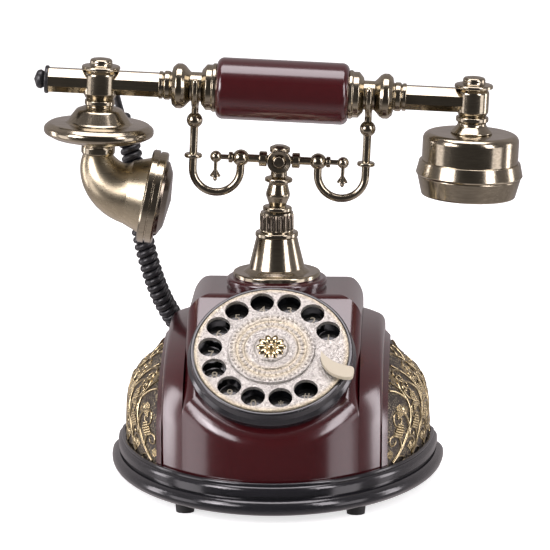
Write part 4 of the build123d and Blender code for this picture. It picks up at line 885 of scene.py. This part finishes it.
class PHONE_OT_vine_relief(bpy.types.Operator):
    """Lay the vine, its leaves and its grapes on both side panels"""

    bl_idname = "phone.vine_relief"
    bl_label = "Vine relief"

    def execute(self, context):
        vine = context.scene.phone_vine
        for side, sign in (("left", -1), ("right", 1)):
            ground = PanelGround(frame["nodes"][side + "_vine_panel"], sign)
            relief = join_pieces(self.grow(ground, vine), side + "_vine")
            smooth_piece(relief)
            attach(relief, "base")
        return {"FINISHED"}

    def grow(self, ground, vine):
        """All the pieces of one panel's vine."""
        pieces = []
        leaf = add_leaf()
        bunch = add_bunch(vine.grape_size)
        heading, length, bend, curl = VINE_STEM
        for foot, lean in VINE_FEET:
            start = (foot, VINE_FOOT_HEIGHT)
            path = vine_path(start, 90 + lean * (heading - 90), length, lean * bend, lean * curl)
            pieces.append(add_stem(ground, path, vine.stem_radius, "vine_stem"))
            for share, away, reach, turn in VINE_TENDRILS:
                y, z, angle = path[round(share * (len(path) - 1))]
                tendril = vine_path((y, z), math.degrees(angle) + lean * away, reach, 0, lean * turn)
                pieces.append(add_stem(ground, tendril, vine.tendril_radius, "vine_tendril"))
            pieces += self.hang(ground, path, VINE_LEAVES, leaf, lean, LEAF_TURN)
            pieces += self.hang(ground, path, VINE_BUNCHES, bunch, lean, BUNCH_TURN)
        bpy.data.objects.remove(leaf)
        bpy.data.objects.remove(bunch)
        return [piece for piece in pieces if piece is not None]

    def hang(self, ground, path, places, model, lean, heading):
        """Copies of a leaf or a bunch beside a stem."""
        copies = []
        for share, hand, distance, size in places:
            y, z, angle = path[round(share * (len(path) - 1))]
            away = angle + lean * hand * math.pi / 2
            y += math.cos(away) * distance * VINE_SPREAD
            z += math.sin(away) * distance
            spot = panel_frame(ground, y, z, away - lean * hand * math.radians(heading))
            if spot is not None:
                copies.append(copy_piece(model, spot @ Matrix.Scale(size, 4)))
        return copies


def route_line(route):
    """Points along a smooth line that follows a route."""
    curve = bpy.data.curves.new("cord_route", "CURVE")
    curve.dimensions = "3D"
    curve.resolution_u = ROUTE_STEPS
    spline = curve.splines.new("NURBS")
    spline.points.add(len(route) - 1)
    for point, place in zip(spline.points, route):
        point.co = (*place, 1.0)
    spline.order_u = 3
    spline.use_endpoint_u = True
    guide = bpy.data.objects.new("cord_route", curve)
    mesh = bpy.data.meshes.new_from_object(guide)
    line = [vertex.co.copy() for vertex in mesh.vertices]
    bpy.data.objects.remove(guide)
    bpy.data.curves.remove(curve)
    bpy.data.meshes.remove(mesh)
    return line


def even_line(line, spacing):
    """The same line with points a fixed distance apart."""
    points = [line[0]]
    carried = 0.0
    for first, second in zip(line, line[1:]):
        length = (second - first).length
        while carried + length >= spacing * len(points):
            share = (spacing * len(points) - carried) / length
            points.append(first.lerp(second, share))
        carried += length
    return points


def cord_wire(settings):
    """Points of the wire from the boot through the coil to the plug, and the place of the middle one."""
    spacing = settings.pitch / settings.steps
    line = even_line(route_line(LEAD_ROUTE + COIL_ROUTE + TAIL_ROUTE), spacing)
    top = Vector(COIL_ROUTE[0])
    low = Vector(COIL_ROUTE[-1])
    first = min(range(len(line)), key=lambda i: (line[i] - top).length)
    last = min(range(len(line)), key=lambda i: (line[i] - low).length)
    radius = (settings.coil - settings.wire) / 2
    ramp = COIL_RAMP_TURNS * settings.steps
    side = Vector((1, 0, 0))
    wire = []
    for i, place in enumerate(line):
        ahead = line[min(i + 1, len(line) - 1)] - line[max(i - 1, 0)]
        ahead.normalize()
        side = (side - ahead * side.dot(ahead)).normalized()
        share = min((i - first) / ramp, (last - i) / ramp, 1.0)
        share = max(share, 0.0)
        share = share * share * (3 - 2 * share)
        angle = 2 * math.pi * (i - first) / settings.steps
        wire.append(place + (side * math.cos(angle) + ahead.cross(side) * math.sin(angle)) * radius * share)
    return wire, (first + last) // 2


def add_wire(wire, diameter, name):
    """A length of the cord along the wire's points."""
    piece = add_tube(wire, diameter / 2, CORD_ROUNDING, name, "Cord rubber")
    smooth_piece(piece, angle=60)
    return piece


class PHONE_OT_handset_cord(bpy.types.Operator):
    """Wind the curly cord from the handset's boot to its plug"""

    bl_idname = "phone.handset_cord"
    bl_label = "Curly cord"

    def execute(self, context):
        settings = context.scene.phone_cord
        wire, middle = cord_wire(settings)
        upper = wire[:middle + 1]
        lower = wire[middle:]
        hanging = add_wire(upper, settings.wire, "cord_upper")
        standing = add_wire(lower, settings.wire, "cord_lower")
        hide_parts("handset_cord")
        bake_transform(hanging)
        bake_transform(standing)
        return {"FINISHED"}


def add_softbox(name, place, size, power):
    """A rectangular lamp that faces the telephone."""
    lamp = bpy.data.lights.new(name, "AREA")
    lamp.shape = "RECTANGLE"
    lamp.size = size[0]
    lamp.size_y = size[1]
    lamp.energy = power
    lamp.color = LAMP_COLOUR
    box = bpy.data.objects.new(name, lamp)
    box.location = place
    box.rotation_euler = (Vector(LAMP_AIM) - Vector(place)).to_track_quat("-Z", "Y").to_euler()
    bpy.context.scene.collection.objects.link(box)


def backdrop_strength(nodes, links, glow):
    """Strength that is white to the camera, mirrors and glass, and dimmer as light on the object."""
    path = nodes.new("ShaderNodeLightPath")
    seen = add_math(nodes, "MAXIMUM")
    clear = add_math(nodes, "MAXIMUM")
    spread = add_range(nodes, (0.0, 1.0), glow)
    links.new(path.outputs["Is Camera Ray"], seen.inputs[0])
    links.new(path.outputs["Is Glossy Ray"], seen.inputs[1])
    links.new(seen.outputs["Value"], clear.inputs[0])
    links.new(path.outputs["Is Transmission Ray"], clear.inputs[1])
    links.new(clear.outputs["Value"], spread.inputs["Value"])
    return spread.outputs["Result"]


class PHONE_OT_stage(bpy.types.Operator):
    """Set the camera, the lamps, the floor, the dark drape and the white background"""

    bl_idname = "phone.stage"
    bl_label = "Stage"

    def execute(self, context):
        self.set_world(context.scene)
        self.set_floor()
        self.set_drape()
        for lamp in LAMPS:
            add_softbox(*lamp)
        self.set_camera(context.scene)
        return {"FINISHED"}

    def set_world(self, scene):
        world = bpy.data.worlds.new("White room")
        scene.world = world
        world.use_nodes = True
        back = world.node_tree.nodes["Background"]
        back.inputs["Color"].default_value = (1.0, 1.0, 1.0, 1.0)
        strength = backdrop_strength(world.node_tree.nodes, world.node_tree.links, WORLD_GLOW)
        world.node_tree.links.new(strength, back.inputs["Strength"])

    def set_floor(self):
        start_piece()
        bpy.ops.mesh.primitive_plane_add(size=FLOOR_SIZE, location=(0, 0, 0))
        material, nodes, links, shader = new_finish("Pale floor")
        shader.inputs["Base Color"].default_value = (*FLOOR_COLOUR, 1.0)
        shader.inputs["Roughness"].default_value = FLOOR_ROUGHNESS
        shader.inputs["Emission Color"].default_value = (1.0, 1.0, 1.0, 1.0)
        links.new(backdrop_strength(nodes, links, FLOOR_GLOW), shader.inputs["Emission Strength"])
        floor = name_piece("pale_floor", material)
        floor.visible_glossy = False

    def set_drape(self):
        """A drape, dark in front and paler behind and below, seen only in the object's reflections."""
        start_piece()
        bpy.ops.mesh.primitive_cube_add(size=DRAPE_SIZE, location=(0, 0, 0))
        material, nodes, links, shader = new_finish("Dark drape")
        shader.inputs["Base Color"].default_value = (*DRAPE_COLOUR, 1.0)
        shader.inputs["Emission Color"].default_value = (*DRAPE_LIGHT, 1.0)
        place = nodes.new("ShaderNodeTexCoord")
        axes = nodes.new("ShaderNodeSeparateXYZ")
        fade = add_range(nodes, (-DRAPE_SIZE / 2, DRAPE_SIZE / 2), DRAPE_GLOW)
        table = add_range(nodes, (-DRAPE_SIZE / 2, DRAPE_LOW_END), (DRAPE_LOW_GLOW, 0.0))
        glow = add_math(nodes, "ADD")
        links.new(place.outputs["Object"], axes.inputs["Vector"])
        links.new(axes.outputs["Y"], fade.inputs["Value"])
        links.new(axes.outputs["Z"], table.inputs["Value"])
        links.new(fade.outputs["Result"], glow.inputs[0])
        links.new(table.outputs["Result"], glow.inputs[1])
        links.new(glow.outputs["Value"], shader.inputs["Emission Strength"])
        drape = name_piece("dark_drape", material)
        drape.visible_camera = False
        drape.visible_diffuse = False
        drape.visible_shadow = False
        drape.visible_transmission = False

    def set_camera(self, scene):
        stage = scene.phone_stage
        away = Vector((math.sin(stage.azimuth) * math.cos(stage.elevation),
                       -math.cos(stage.azimuth) * math.cos(stage.elevation), math.sin(stage.elevation)))
        aim = Vector(stage.aim)
        lens = bpy.data.cameras.new("photo_camera")
        lens.sensor_width = SENSOR_WIDTH
        lens.lens = SENSOR_WIDTH * stage.distance / stage.view_width
        camera = bpy.data.objects.new("photo_camera", lens)
        camera.location = aim + away * stage.distance
        camera.rotation_euler = (-away).to_track_quat("-Z", "Y").to_euler()
        scene.collection.objects.link(camera)
        scene.camera = camera
        scene.view_settings.view_transform = "Standard"


STEPS = (PHONE_OT_finishes, PHONE_OT_key_marks, PHONE_OT_medallion, PHONE_OT_collar_ribs,
         PHONE_OT_vine_relief, PHONE_OT_handset_cord, PHONE_OT_stage)
SETTINGS = {"phone_finishes": PhoneFinishes, "phone_dial": PhoneDial, "phone_collar": PhoneCollar,
            "phone_vine": PhoneVine, "phone_cord": PhoneCord, "phone_stage": PhoneStage}


class PHONE_PT_sidebar(bpy.types.Panel):
    """Sidebar panel with every step and its settings"""

    bl_idname = "PHONE_PT_sidebar"
    bl_label = "Telephone"
    bl_space_type = "VIEW_3D"
    bl_region_type = "UI"
    bl_category = "Telephone"

    def draw(self, context):
        for step in STEPS:
            self.layout.operator(step.bl_idname)
        for name, group in SETTINGS.items():
            box = self.layout.box()
            for key in group.__annotations__:
                box.prop(getattr(context.scene, name), key)


def register():
    for name, group in SETTINGS.items():
        bpy.utils.register_class(group)
        setattr(bpy.types.Scene, name, bpy.props.PointerProperty(type=group))
    for step in STEPS:
        bpy.utils.register_class(step)
    bpy.utils.register_class(PHONE_PT_sidebar)


def unregister():
    bpy.utils.unregister_class(PHONE_PT_sidebar)
    for step in reversed(STEPS):
        bpy.utils.unregister_class(step)
    for name, group in SETTINGS.items():
        delattr(bpy.types.Scene, name)
        bpy.utils.unregister_class(group)


def main():
    register()
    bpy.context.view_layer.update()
    bpy.ops.phone.finishes()
    bpy.ops.phone.key_marks()
    bpy.ops.phone.medallion()
    bpy.ops.phone.collar_ribs()
    bpy.ops.phone.vine_relief()
    bpy.ops.phone.handset_cord()
    bpy.ops.phone.stage()


if __name__ == "__main__":
    main()
